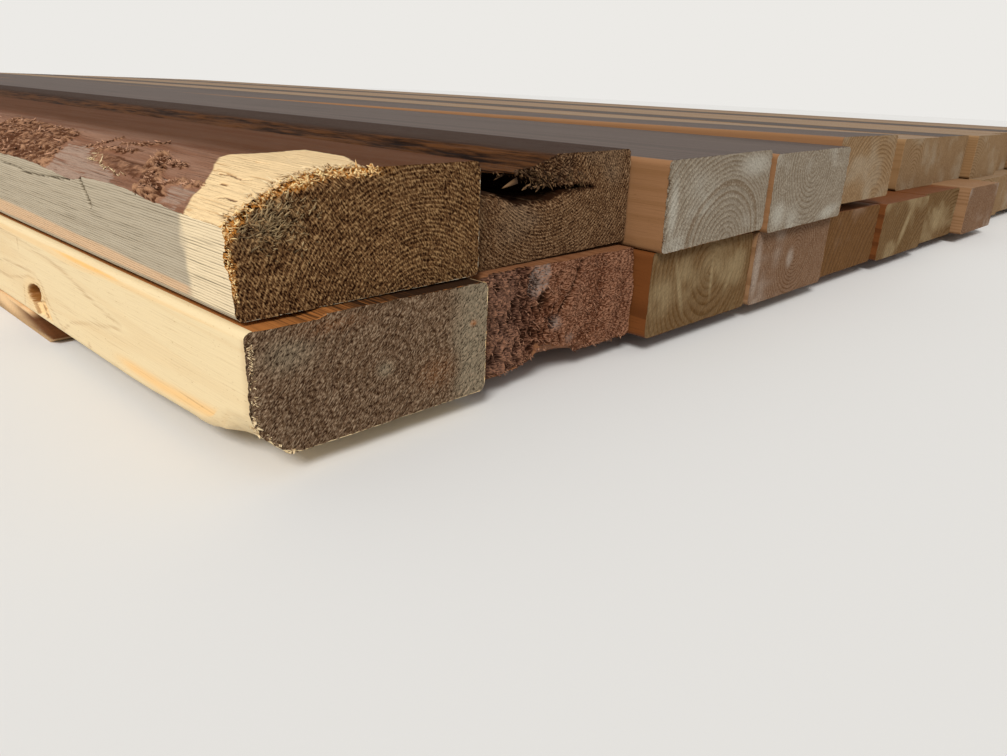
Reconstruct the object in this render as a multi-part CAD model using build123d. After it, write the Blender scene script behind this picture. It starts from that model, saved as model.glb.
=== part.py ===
from build123d import *
import os

os.makedirs("parts", exist_ok=True)

# A loose stack of framing lumber: two layers of 2x4 boards, face to face,
# on three thin crosswise laths. The near ends are at -Y, the left side is at -X,
# and the laths lie on the floor at Z = 0. All lengths are in millimetres.

# Section and length of every board
board_width = 89.0
board_thickness = 38.0
board_length = 2438.0
eased_edge = 2.5

# Two lower boards were sawn a little thick
thick_board_thickness = 39.5
thick_lower_boards = (1, 2)

# Side gaps, one before each board, from left to right
lower_gaps = [0.0, 4.5, 1.5, 1.5, 2.0, 2.5, 1.5, 2.0, 2.0, 1.5, 2.0, 1.5, 2.0]
upper_gaps = [0.5, 3.8, 1.7, 1.4, 1.6, 2.0, 2.0, 2.5, 1.5, 2.0, 1.5, 2.0, 1.5]

# How far each near end stands back from the first lower board's end
lower_setbacks = [0.0, 3.7, -2.7, -4.3, 0.0, -3.3, 0.5, -7.6, 8.0, 12.0, 5.0, -3.0, 4.0]
upper_setbacks = [5.7, 11.4, -6.4, -8.5, -2.7, 32.0, 22.0, 26.0, 18.0, 30.0, 22.0, 27.0, 20.0]

# Upper boards that have warped: twist in degrees at each end, bow as the rise of both ends
upper_twists = {1: 0.5, 2: 1.1, 3: 1.3, 4: 0.9}
upper_bows = {5: 6.0}

# Laths under the stack
lath_thickness = 8.0
lath_width = 85.0
lath_setback = 165.0
lath_edge_height = 3.4
lath_bevel = 34.0
lath_undercut = 6.0

# Wane on the first upper board: the round of a tapering log along its upper left edge
wane_log_radius = 58.0
wane_width = 37.0
wane_log_taper = 0.0125

# Bark scar on the second upper board: a long scoop, and a deep pocket in its end
scar_radius = 80.0
scar_centre = 14.0
scar_depth = 5.5
scar_length = 950.0
scar_overrun = 95.0
pocket_depth = 110.0
pocket_shrink = 0.35
pocket_end_rise = 17.3
# Mouth of the pocket, as places across the end and heights: its floor, then its roof back again
pocket_floor = [(-4, 27), (5, 26.5), (13, 25), (23, 21.5), (36, 21), (46, 23), (58, 24.5), (68, 24)]
pocket_roof = [(58, 26.5), (45, 26.5), (34, 28.5), (26, 32), (16, 33.5), (-4, 34)]

# Broken lower corner of the first lower board, and the hole of a fallen knot
broken_corner_width = 10.0
broken_corner_height = 9.0
broken_corner_length = 34.0
knot_setback = 181.0
knot_height = 10.5
knot_radius = 4.5
knot_depth = 9.0
knot_slant = 35.0

# Notch torn from the lower edge of the second lower board's end
notch_start = 19.0
notch_width = 33.0
notch_height = 6.0
notch_depth = 12.0
notch_tip = 0.4
# Its ragged outline, as shares of its width and height
notch_outline = [(0, 0), (0.25, 0.4), (0.32, 1), (0.6, 0.85), (0.9, 0.5), (1, 0)]

# How far a cutting shape reaches outside the board that it cuts
clearance = 1.0


def lefts(gaps):
    """Left edge of each board in a layer, from the gaps before them."""
    edges = []
    edge = 0.0
    for gap in gaps:
        edge += gap
        edges.append(edge)
        edge += board_width
    return edges


lower_lefts = lefts(lower_gaps)
upper_lefts = lefts(upper_gaps)
stack_width = lower_lefts[-1] + board_width
setbacks = lower_setbacks + upper_setbacks
stack_front = min(setbacks)
stack_back = max(setbacks) + board_length

# The model's origin is on the floor, under the middle of the stack
origin_shift = Pos(-stack_width / 2, -(stack_front + stack_back) / 2, 0)


def end_plane(left, setback, height):
    """Plane of a board's near end, with its origin at the lower left corner."""
    return Plane(origin=(left, setback, height), x_dir=(1, 0, 0), z_dir=(0, -1, 0))


def board_section(thickness):
    """A board's section, with its lower left corner at the origin."""
    outline = RectangleRounded(board_width, thickness, eased_edge)
    return Pos(board_width / 2, thickness / 2) * outline


def straight_board(plane, thickness):
    return extrude(plane * board_section(thickness), amount=board_length, dir=(0, 1, 0))


def twisted_board(plane, thickness, twist):
    """The near end rests on its left corner and the far end on its right one."""
    near = plane * Rotation(0, 0, twist) * board_section(thickness)
    far_plane = plane.offset(-board_length)
    far_turn = Pos(board_width, 0) * Rotation(0, 0, -twist) * Pos(-board_width, 0)
    far = far_plane * far_turn * board_section(thickness)
    return loft([near, far], ruled=True)


def bowed_board(plane, thickness, bow):
    """Both ends rise by the bow, and the middle rests on what is below."""
    start = plane.origin + Vector(0, 0, bow)
    middle = plane.origin + Vector(0, board_length / 2, 0)
    end = start + Vector(0, board_length, 0)
    path = ThreePointArc(start, middle, end)
    section_plane = Plane(origin=start, x_dir=(1, 0, 0), z_dir=-(path % 0))
    return sweep(section_plane * board_section(thickness), path=path)


def cut_wane(board, plane, thickness):
    """Trim the upper left edge to the round of the log, which thickens away from the end."""
    pith = Pos(wane_width, thickness - wane_log_radius)
    far_radius = wane_log_radius + wane_log_taper * board_length
    log = Cone(far_radius, wane_log_radius, board_length, align=(Align.CENTER, Align.CENTER, Align.MAX))
    corner = Pos(wane_width, thickness / 2) * Box(
        wane_width + eased_edge, 2 * thickness, board_length,
        align=(Align.MAX, Align.MIN, Align.MAX),
    )
    return board - plane * (corner - pith * log)


def scar_scoop(thickness):
    """A shallow scoop along the board's top, deepest at the end, that runs out along its length."""
    run_out = Vector(0, scar_depth, -scar_length)
    lowest = Vector(scar_centre, thickness - scar_depth, 0)
    axis_start = lowest + Vector(0, scar_radius, 0) - run_out.normalized() * scar_overrun
    return Plane(origin=axis_start, z_dir=run_out.normalized()) * Cylinder(
        scar_radius, scar_length + 2 * scar_overrun, align=(Align.CENTER, Align.CENTER, Align.MIN)
    )


def bark_pocket():
    """A hollow that narrows into the board, with an open mouth at the left and a slit to the right."""
    mouth = make_face(Polyline(*pocket_floor, *pocket_roof, close=True))
    deep_end = Pos(0, pocket_end_rise, -pocket_depth) * scale(mouth, pocket_shrink)
    return loft([Pos(0, 0, clearance) * mouth, deep_end], ruled=True)


def break_corner(board, plane):
    """Splinter off the lower left corner at the near end."""
    reach = eased_edge
    corner = make_face(Polyline(
        (-reach, -reach), (broken_corner_width + reach, -reach),
        (-reach, broken_corner_height + reach), close=True,
    ))
    tip = Vertex(-reach, -reach, -broken_corner_length)
    return board - plane * loft([Pos(0, 0, clearance) * corner, tip])


def cut_knot_hole(board, plane):
    """The hole left by a small knot in the left face, slanting down into the board."""
    mouth = Pos(0, knot_height, -knot_setback)
    hole = Cylinder(knot_radius, 2 * knot_depth)
    return board - plane * mouth * Rotation(0, 90, 0) * Rotation(knot_slant, 0, 0) * hole


def tear_notch(board, plane):
    """Tear a shallow notch from the lower edge of the near end."""
    corners = [(notch_start + across * notch_width, up * notch_height) for across, up in notch_outline]
    below = [(corners[-1][0], -clearance), (corners[0][0], -clearance)]
    outline = make_face(Polyline(*corners, *below, close=True))
    tip = Vertex(notch_start + notch_tip * notch_width, -clearance, -notch_depth)
    return board - plane * loft([Pos(0, 0, clearance) * outline, tip])


def lower_thickness(number):
    return thick_board_thickness if number in thick_lower_boards else board_thickness


def lower_board(number):
    """One board of the lower layer, resting on the laths."""
    thickness = lower_thickness(number)
    plane = end_plane(lower_lefts[number - 1], lower_setbacks[number - 1], lath_thickness)
    board = straight_board(plane, thickness)
    if number == 1:
        board = cut_knot_hole(break_corner(board, plane), plane)
    if number == 2:
        board = tear_notch(board, plane)
    return board


def upper_board(number):
    """One board of the upper layer, resting on the lower board under it."""
    height = lath_thickness + lower_thickness(number)
    plane = end_plane(upper_lefts[number - 1], upper_setbacks[number - 1], height)
    if number in upper_twists:
        board = twisted_board(plane, board_thickness, upper_twists[number])
    elif number in upper_bows:
        board = bowed_board(plane, board_thickness, upper_bows[number])
    else:
        board = straight_board(plane, board_thickness)
    if number == 1:
        board = cut_wane(board, plane, board_thickness)
    if number == 2:
        board = board - plane * scar_scoop(board_thickness) - plane * bark_pocket()
    return board


def lath(front):
    """A thin lath across the whole stack, with a waney near edge."""
    outline = make_face(Polyline(
        (front + lath_undercut, 0), (front, lath_edge_height),
        (front + lath_bevel, lath_thickness), (front + lath_width, lath_thickness),
        (front + lath_width, 0), close=True,
    ))
    return extrude(Plane.YZ * outline, amount=stack_width)


lath_fronts = {
    "lath_near": lath_setback,
    "lath_middle": (board_length - lath_width) / 2,
    "lath_far": board_length - lath_setback - lath_width,
}

pieces = {name: lath(front) for name, front in lath_fronts.items()}
for index in range(len(lower_gaps)):
    pieces[f"lower_board_{index + 1:02d}"] = lower_board(index + 1)
for index in range(len(upper_gaps)):
    pieces[f"upper_board_{index + 1:02d}"] = upper_board(index + 1)

for name, shape in pieces.items():
    export_step(origin_shift * shape, f"parts/{name}.step")
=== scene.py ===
import itertools
import math
import bpy
import numpy as np
from mathutils import Matrix, Vector


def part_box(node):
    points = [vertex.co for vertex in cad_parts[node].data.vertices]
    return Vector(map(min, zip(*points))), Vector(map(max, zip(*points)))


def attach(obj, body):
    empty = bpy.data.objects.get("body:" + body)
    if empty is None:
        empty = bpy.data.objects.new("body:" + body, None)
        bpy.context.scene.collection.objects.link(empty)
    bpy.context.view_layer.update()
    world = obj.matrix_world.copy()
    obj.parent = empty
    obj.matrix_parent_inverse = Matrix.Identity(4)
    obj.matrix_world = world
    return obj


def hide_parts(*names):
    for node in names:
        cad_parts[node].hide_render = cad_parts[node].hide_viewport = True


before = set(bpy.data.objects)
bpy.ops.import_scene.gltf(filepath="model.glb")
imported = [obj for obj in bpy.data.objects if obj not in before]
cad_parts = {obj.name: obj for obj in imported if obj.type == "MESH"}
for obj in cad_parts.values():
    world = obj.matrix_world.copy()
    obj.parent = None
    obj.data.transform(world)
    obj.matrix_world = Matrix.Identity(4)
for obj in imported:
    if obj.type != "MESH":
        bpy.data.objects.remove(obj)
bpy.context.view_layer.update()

# A loose stack of framing lumber: two layers of 2x4 boards on three thin laths.
# Boards are worked out in millimetres, in their own measure: x across the board from its
# left face, y along it from its near end, z up from its underside.
mm = 0.001
board_width = 89.0
board_thickness = 38.0
board_length = 2438.0
eased_edge = 2.5

# Sides of a board's section, in order round it as seen from its near end
side_names = ("bottom", "right", "top", "left")


def linear(code):
    """Linear colour, with alpha, from an sRGB hex value."""
    parts = [int(code[k:k + 2], 16) / 255 for k in (1, 3, 5)]
    return [p / 12.92 if p <= 0.04045 else ((p + 0.055) / 1.055) ** 2.4 for p in parts] + [1.0]


# Noise that is the same on every run. Large odd numbers mix up the bits of a place and a seed.
mixers = [np.uint32(number) for number in (2654435761, 2246822519, 3266489917)]
seed_mixer, seed_start = 747796405, 2891336453


def lattice(seed, cells):
    """A repeatable random number from 0 to 1 at each whole-number cell."""
    mixed = np.uint32((seed * seed_mixer + seed_start) % 2**32)
    for cell, mixer in zip(cells, mixers):
        mixed = mixed ^ (cell.astype(np.int64).astype(np.uint32) * mixer)
        mixed = (mixed ^ (mixed >> np.uint32(15))) * mixers[1]
        mixed = (mixed ^ (mixed >> np.uint32(13))) * mixers[2]
    return (mixed ^ (mixed >> np.uint32(16))) / 2.0**32


def noise(seed, *coordinates):
    """Smooth noise from -1 to 1, with one bump to each unit of the coordinates."""
    coordinates = np.broadcast_arrays(*coordinates)
    floors = [np.floor(c) for c in coordinates]
    blends = [(c - f) ** 2 * (3 - 2 * (c - f)) for c, f in zip(coordinates, floors)]
    total = 0
    for corner in itertools.product((0, 1), repeat=len(coordinates)):
        weight = 1
        for step, blend in zip(corner, blends):
            weight = weight * (blend if step else 1 - blend)
        total = total + weight * lattice(seed, [f + step for f, step in zip(floors, corner)])
    return 2 * total - 1


def rough(seed, *coordinates, octaves=3):
    """Noise with finer bumps on it, from about -1 to 1."""
    total = 0
    finer, fainter = 2.03, 0.55
    for octave in range(octaves):
        total = total + fainter**octave * noise(seed + octave, *[c * finer**octave for c in coordinates])
    return total / sum(fainter**octave for octave in range(octaves))


def smooth_step(low, high, value):
    """0 before low and 1 after high, with an even slope between. High may be the smaller."""
    t = np.clip((value - low) / (high - low), 0, 1)
    return t * t * (3 - 2 * t)


def near_line(x, y, corners):
    """Distance in the plane from each point to a line through the corners."""
    nearest = np.full(np.shape(x), 1e9)
    for (x0, y0), (x1, y1) in zip(corners, corners[1:]):
        dx, dy = x1 - x0, y1 - y0
        t = np.clip(((x - x0) * dx + (y - y0) * dy) / (dx * dx + dy * dy), 0, 1)
        nearest = np.minimum(nearest, np.hypot(x - x0 - t * dx, y - y0 - t * dy))
    return nearest


def blob(x, y, centre, reach):
    """1 at the centre, fading to 0 at an ellipse of that reach."""
    return smooth_step(1, 0, np.hypot((x - centre[0]) / reach[0], (y - centre[1]) / reach[1]))


def torn_fibres(seed, x, z, lean, width, length):
    """Stubs of torn fibre on a sawn end: short strokes that lean across it, from -1 to 1."""
    c, s = math.cos(lean), math.sin(lean)
    return rough(seed, (z * c - x * s) / width, (x * c + z * s) / length)


# Boards

# Slow sway of the ring spacing: length in millimetres, amount in rings, and start
ring_sway = ((6.1, 0.4, 0.0), (2.7, 0.12, 1.0))
# Share of each year's ring where its late wood starts to rise, is whole, and ends
late_start, late_full, late_end = 0.35, 0.87, 0.93


class Board:
    """One sawn board that stands for a CAD node."""
    twist = 0.0           # turn of the near end in radians, and minus it at the far end
    bow = 0.0             # rise of both ends
    ring = 1.7            # spacing of the growth rings
    drift = (9.0, 900.0)  # how far the pith wanders, and over what length
    fuzz = 0.16           # depth of the torn fibres on the ends
    wave = 0.25           # depth of the slow unevenness of the ends
    ridge = 0.10          # how far late wood stands up on the ends
    stroke = (0.9, 2.6)   # width and length of one torn stroke
    lean = 1.0            # direction of the strokes, in radians
    cap_pitch = 1.0       # step of the mesh on the near end
    pale = ()             # pale patches on the end: centre x and z, half width and height, lean in degrees
    bands = ()            # darker growth rings: distance from the pith, and half their width
    squeeze = 1.0         # how much narrower the rings are on the left of the pith
    shade = 0.0           # how much lighter or darker than its neighbours the board is
    # stretches of the mesh: how far each reaches, its step along, and its step across the seen sides
    detail = ((2, 1.0, 1.5), (24, 4.0, 3.0), (300, 25.0, 6.0), (board_length, 90.0, 9.0))
    open_sides = ("left", "top")
    plain_top = True      # the eased edges of the top look like the sides

    def __init__(self, node, slot, pith, seed, **settings):
        self.node, self.slot, self.pith, self.seed = node, slot, pith, seed
        for name, value in settings.items():
            setattr(self, name, value)
        low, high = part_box(node)
        straight = self.twist == 0 and self.bow == 0
        self.thickness = (high.z - low.z) / mm if straight else board_thickness
        self.left = low.x / mm + (board_thickness - eased_edge) * math.sin(self.twist)
        self.near = low.y / mm
        # a bowed board's underside is its lowest only in the middle, so it is measured from its top
        self.base = low.z / mm - eased_edge * math.sin(self.twist)
        if self.bow:
            self.base = high.z / mm - self.thickness - self.bow

    def noise(self, number, *coordinates):
        """Smooth noise of this board's own. Each use has its own number."""
        return noise(self.seed + number, *coordinates)

    def rough(self, number, *coordinates, octaves=3):
        """Rough noise of this board's own."""
        return rough(self.seed + number, *coordinates, octaves=octaves)

    def limits(self, x, y):
        """Lowest and highest point of the section at each x."""
        inset = np.clip(np.minimum(x, board_width - x), 0, eased_edge)
        rise = eased_edge - np.sqrt(np.maximum(eased_edge**2 - (eased_edge - inset) ** 2, 0))
        return rise, self.thickness - rise

    def end_depth(self, x, z):
        """How far behind its plane each point of the near end lies."""
        strokes = torn_fibres(self.seed, x, z, self.lean, *self.stroke)
        waves = self.rough(9, x / 19, z / 19)
        return self.fuzz * (1 + strokes) + self.wave * (1 + waves) * 0.5 + self.ridge * self.early_wood(x, z)

    def early_wood(self, x, z):
        """1 in the soft early wood and 0 in the late wood, on the near end."""
        turn = self.ring_number(x, np.zeros_like(x), z) % 1
        return 1 - smooth_step(late_start, late_full, turn) * smooth_step(1.0, late_end, turn)

    def ring_number(self, x, y, z):
        """How many growth rings lie between each point and the pith."""
        grain = self.grain(x, y, z)
        radius = np.hypot(grain[..., 0], grain[..., 2])
        sway = sum(amount * np.sin(radius / length + start) for length, amount, start in ring_sway)
        return radius / self.ring + sway

    def grain(self, x, y, z):
        """Place of each point measured from the pith, which wanders along the board."""
        amount, length = self.drift
        swing = amount * np.sin(y / length + self.seed)
        start = amount * math.sin(self.seed)
        bend = 0.7 * self.noise(31, x / 16, z / 16, y / 150)
        across = x - self.pith[0] - (swing - start) + bend
        across = across * np.where(across < 0, self.squeeze, 1.0)
        up = z - self.pith[1] - 0.4 * (swing - start) + 0.6 * bend
        return np.stack([across, y, up], axis=-1)

    def dress(self, side, x, y, z):
        """Works the sawn faces: moves points a little inwards and returns their marks."""
        dent = 0.10 * (1 + self.noise(3, y / 45, (x + z) / 14))
        tone = self.shade + 0.25 * self.noise(4, y / 160, (x + z) / 11)
        return self.sink(side, x, y, z, dent), {"tone": tone}

    def sink(self, side, x, y, z, depth):
        """Moves points of a side into the board by that depth."""
        if side == "left":
            return x + depth, y, z
        if side == "right":
            return x - depth, y, z
        return x, y, (z + depth if side == "bottom" else z - depth)

    def end_marks(self, x, z, depth):
        """Tone of the end from its torn strokes, darker where they lie deeper as painted shade, with slow
        patches of stain.
        """
        strokes = torn_fibres(self.seed, x, z, self.lean, *self.stroke)
        patch = 0.8 * smooth_step(-0.2, 0.7, self.rough(5, x / 26, z / 20))
        for centre_x, centre_z, width, height, lean in self.pale:
            c, s = math.cos(math.radians(lean)), math.sin(math.radians(lean))
            across, up = x - centre_x, z - centre_z
            here = blob(across * c + up * s, up * c - across * s, (0, 0), (width, height))
            patch = np.maximum(patch, here)
        grain = self.grain(x, np.zeros_like(x), z)
        radius = np.hypot(grain[..., 0], grain[..., 2])
        band = np.zeros_like(x)
        for distance, half_width in self.bands:
            here = smooth_step(half_width, 0.3 * half_width, np.abs(radius - distance))
            band = np.maximum(band, 0.65 * here)
        return {"tone": -0.8 * strokes, "stain_and_painted_sunlight": patch, "bark": band}

    def place(self, x, y, z):
        """Model coordinates, in metres, of points given in the board's own measure."""
        along = np.clip(y / board_length, 0, 1)
        c, s = math.cos(self.twist), math.sin(self.twist)
        from_right = x - board_width
        across = (x * c - z * s) * (1 - along) + (board_width + from_right * c + z * s) * along
        up = (x * s + z * c) * (1 - along) + (z * c - from_right * s) * along
        reach = 2 * along - 1
        up = up + self.bow * reach**2
        y = y - z * 4 * self.bow * reach / board_length
        return np.stack([self.left + across, self.near + y, self.base + up], axis=-1) * mm


# Steps of the mesh on sides that are hardly seen and on the far ends, and how far before the far end
# the last ring of points lies
hidden_pitch = 6.0
far_pitch = 3.0
far_gap = 4.0
# How far behind the near end the sides still follow its torn surface
frayed_reach = 130


def steps(width, pitch, least):
    """How many points a row needs between the eased edges of a face."""
    return max(least, round((width - 2 * eased_edge) / pitch) + 1)


def stations(width, pitch):
    """Places across a face of that width, close together over the eased edges."""
    turn = np.radians([0, 25, 50, 75]) if pitch > 0.9 else np.radians([0, 18, 36, 54, 72])
    edge = eased_edge * (1 - np.cos(turn))
    inner = np.linspace(eased_edge, width - eased_edge, steps(width, pitch, 2))
    return np.concatenate([edge, inner, width - edge[::-1]])


class Skin:
    """Points and faces of one board's surface."""
    # what the materials read at each point: how light or dark it is, how much it is stained, and how
    # much it is like bark, resin or dark wood, which each material shows in its own colour. On some
    # boards these marks also carry painted sunlight and painted shade.
    mark_names = ("tone", "stain_and_painted_sunlight", "bark")

    def __init__(self, board):
        self.board = board
        self.points, self.grain, self.corners, self.sizes, self.finish = [], [], [], [], []
        self.marks = {name: [] for name in self.mark_names}
        self.count = 0

    def add_points(self, original, moved, marks):
        """Adds points and returns their numbers. The grain is that of the unworn board."""
        shape = np.shape(original[0])
        self.points.append(self.board.place(*moved).reshape(-1, 3))
        self.grain.append(self.board.grain(*original).reshape(-1, 3))
        for name in self.mark_names:
            value = np.broadcast_to(marks.get(name, 0.0), shape)
            self.marks[name].append(np.ravel(value))
        numbers = np.arange(self.count, self.count + int(np.prod(shape))).reshape(shape)
        self.count += numbers.size
        return numbers

    def add_faces(self, corners, finish):
        """Adds faces, given as rows of three or four point numbers."""
        if len(corners):
            corners = np.asarray(corners)
            self.corners.append(corners.ravel())
            self.sizes.append(np.full(len(corners), corners.shape[1]))
            self.finish.append(np.full(len(corners), finish))

    def end(self, pitch, at_far_end):
        """Grid of points over one end of the board, and its outline as a first ring."""
        board = self.board
        across = stations(board_width, pitch)
        rows = stations(board.thickness, pitch)
        rows = rows[(rows >= eased_edge) & (rows <= board.thickness - eased_edge)] - eased_edge
        share = rows / rows[-1]
        x = np.repeat(across[:, None], len(share), axis=1)
        flat = np.full_like(x, board_length if at_far_end else 0.0)
        low, high = board.limits(x, flat)
        z = low + share[None, :] * (high - low)
        if at_far_end:
            y = board_length - 0.25 * (1 + board.rough(41, x / 3, z / 3))
            marks = {"tone": board.rough(42, x / 2.5, z / 2.5)}
        else:
            y = board.end_depth(x, z)
            marks = board.end_marks(x, z, y)
        numbers = self.add_points((x, flat, z), (x, y, z), marks)
        quads = np.stack([numbers[:-1, :-1], numbers[1:, :-1], numbers[1:, 1:], numbers[:-1, 1:]], -1)
        quads = quads.reshape(-1, 4)
        self.add_faces(quads[:, ::-1] if at_far_end else quads, 0)
        return {
            "bottom": (numbers[:, 0], across / board_width),
            "right": (numbers[-1, :], share),
            "top": (numbers[::-1, -1], across / board_width),
            "left": (numbers[0, ::-1], share),
        }

    def ring(self, y, pitch):
        """Points round the section at one place along the board. Gives each side's chain of point
        numbers, and how far along the side each of them is, from 0 to 1."""
        board = self.board
        shares, chains = {}, {}
        for side in side_names:
            fine = pitch if side in board.open_sides else max(pitch, hidden_pitch)
            if side in ("bottom", "top"):
                shares[side] = stations(board_width, fine) / board_width
                x = shares[side][1:-1] * board_width
                x = x if side == "bottom" else x[::-1]
                low, high = board.limits(x, np.full_like(x, y))
                z = low if side == "bottom" else high
            else:
                shares[side] = np.linspace(0, 1, steps(board.thickness, fine, 3))
                edge = board_width if side == "right" else 0.0
                low, high = board.limits(np.full(1, edge), np.full(1, y))
                start, stop = (low, high) if side == "right" else (high, low)
                z = start + shares[side] * (stop - start)
                x = np.full_like(z, edge)
            depth = board.end_depth(x, z) if y < frayed_reach else 0.0
            back = np.maximum(y, depth + 0.02 * y) + np.zeros_like(x)
            moved, marks = board.dress(side, x, back, z)
            chains[side] = self.add_points((x, back, z), moved, marks)
        right, left = chains["right"], chains["left"]
        chains["bottom"] = np.concatenate([left[-1:], chains["bottom"], right[:1]])
        chains["top"] = np.concatenate([right[-1:], chains["top"], left[:1]])
        return {side: (chains[side], shares[side]) for side in side_names}

    def join(self, first, second):
        """Faces between two rings, side by side: squares where both have as many points, and
        otherwise triangles. Along its rim a plain top has the finish of the sides."""
        for side in side_names:
            a, share_a = first[side]
            b, share_b = second[side]
            finish = 1 + side_names.index(side)
            rim = 1.1 * eased_edge / board_width if side == "top" and self.board.plain_top else 0
            if len(a) == len(b):
                middle = (share_a[:-1] + share_a[1:]) / 2
                beside = np.minimum(middle, 1 - middle) < rim
                self.add_faces(np.stack([a[:-1], b[:-1], b[1:], a[1:]], -1), np.where(beside, 2, finish))
                continue
            triangles, finishes = [], []
            i = j = 0
            while i < len(a) - 1 or j < len(b) - 1:
                if i == len(a) - 1 or (j < len(b) - 1 and share_b[j + 1] < share_a[i + 1]):
                    triangles.append((a[i], b[j], b[j + 1]))
                    shares = (share_a[i], share_b[j], share_b[j + 1])
                    j += 1
                else:
                    triangles.append((a[i], b[j], a[i + 1]))
                    shares = (share_a[i], share_b[j], share_a[i + 1])
                    i += 1
                beside = max(shares) < rim or min(shares) > 1 - rim
                finishes.append(2 if beside else finish)
            self.add_faces(triangles, finishes)

    def build(self):
        """Both ends and the sides between them."""
        previous = self.end(self.board.cap_pitch, False)
        start = 0.0
        for reach, step, pitch in self.board.detail:
            reach = min(reach, board_length - far_gap)
            count = max(1, round((reach - start) / step))
            for y in np.linspace(start, reach, count + 1)[1:]:
                ring = self.ring(float(y), pitch)
                self.join(previous, ring)
                previous = ring
            start = reach
        self.join(previous, self.end(far_pitch, True))


def make_piece(name, points, corners, sizes, materials, finish=None, smooth=None, marks=None):
    """A mesh object from arrays of points and faces, with its marks as attributes."""
    mesh = bpy.data.meshes.new(name)
    mesh.vertices.add(len(points))
    mesh.vertices.foreach_set("co", np.ravel(points).astype(np.float32))
    mesh.loops.add(len(corners))
    mesh.loops.foreach_set("vertex_index", corners.astype(np.int32))
    mesh.polygons.add(len(sizes))
    mesh.polygons.foreach_set("loop_start", (np.cumsum(sizes) - sizes).astype(np.int32))
    for material in materials:
        mesh.materials.append(material)
    if finish is not None:
        mesh.polygons.foreach_set("material_index", finish.astype(np.int32))
    if smooth is not None:
        mesh.polygons.foreach_set("use_smooth", smooth)
    for mark, values in (marks or {}).items():
        kind, field = ("FLOAT_VECTOR", "vector") if values.ndim == 2 else ("FLOAT", "value")
        attribute = mesh.attributes.new(mark, kind, "POINT")
        attribute.data.foreach_set(field, np.ravel(values).astype(np.float32))
    mesh.update(calc_edges=True)
    mesh.validate()
    piece = bpy.data.objects.new(name, mesh)
    bpy.context.scene.collection.objects.link(piece)
    return piece


# Faces of about this many square metres or less are left out
least_area = 1e-12


def solid_faces(points, corners, sizes, finish):
    """Leaves out faces whose corners have fallen together."""
    starts = np.cumsum(sizes) - sizes
    keep = np.zeros(len(sizes), bool)
    for size in (3, 4):
        chosen = np.flatnonzero(sizes == size)
        face = points[corners[starts[chosen][:, None] + np.arange(size)]]
        edges = face[:, 1:] - face[:, :1]
        crossed = np.cross(edges[:, :-1], edges[:, 1:])
        keep[chosen] = np.linalg.norm(crossed, axis=2).sum(axis=1) > least_area
    return corners[np.repeat(keep, sizes)], sizes[keep], finish[keep]


def make_board(board, materials):
    """Replaces a CAD board by its worked surface. The materials are those of its ends, its
    sides and its top."""
    skin = Skin(board)
    skin.build()
    points = np.concatenate(skin.points)
    corners, sizes, finish = solid_faces(
        points, np.concatenate(skin.corners), np.concatenate(skin.sizes), np.concatenate(skin.finish),
    )
    top = 1 + side_names.index("top")
    marks = {name: np.concatenate(values) for name, values in skin.marks.items()}
    marks["grain"] = np.concatenate(skin.grain)
    piece = make_piece(
        board.node.replace("_board", ""), points, corners, sizes, materials,
        finish=np.where(finish == top, 2, np.minimum(finish, 1)), smooth=finish > 0, marks=marks,
    )
    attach(piece, "root")
    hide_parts(board.node)
    return piece


# Boards with marks of their own

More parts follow.
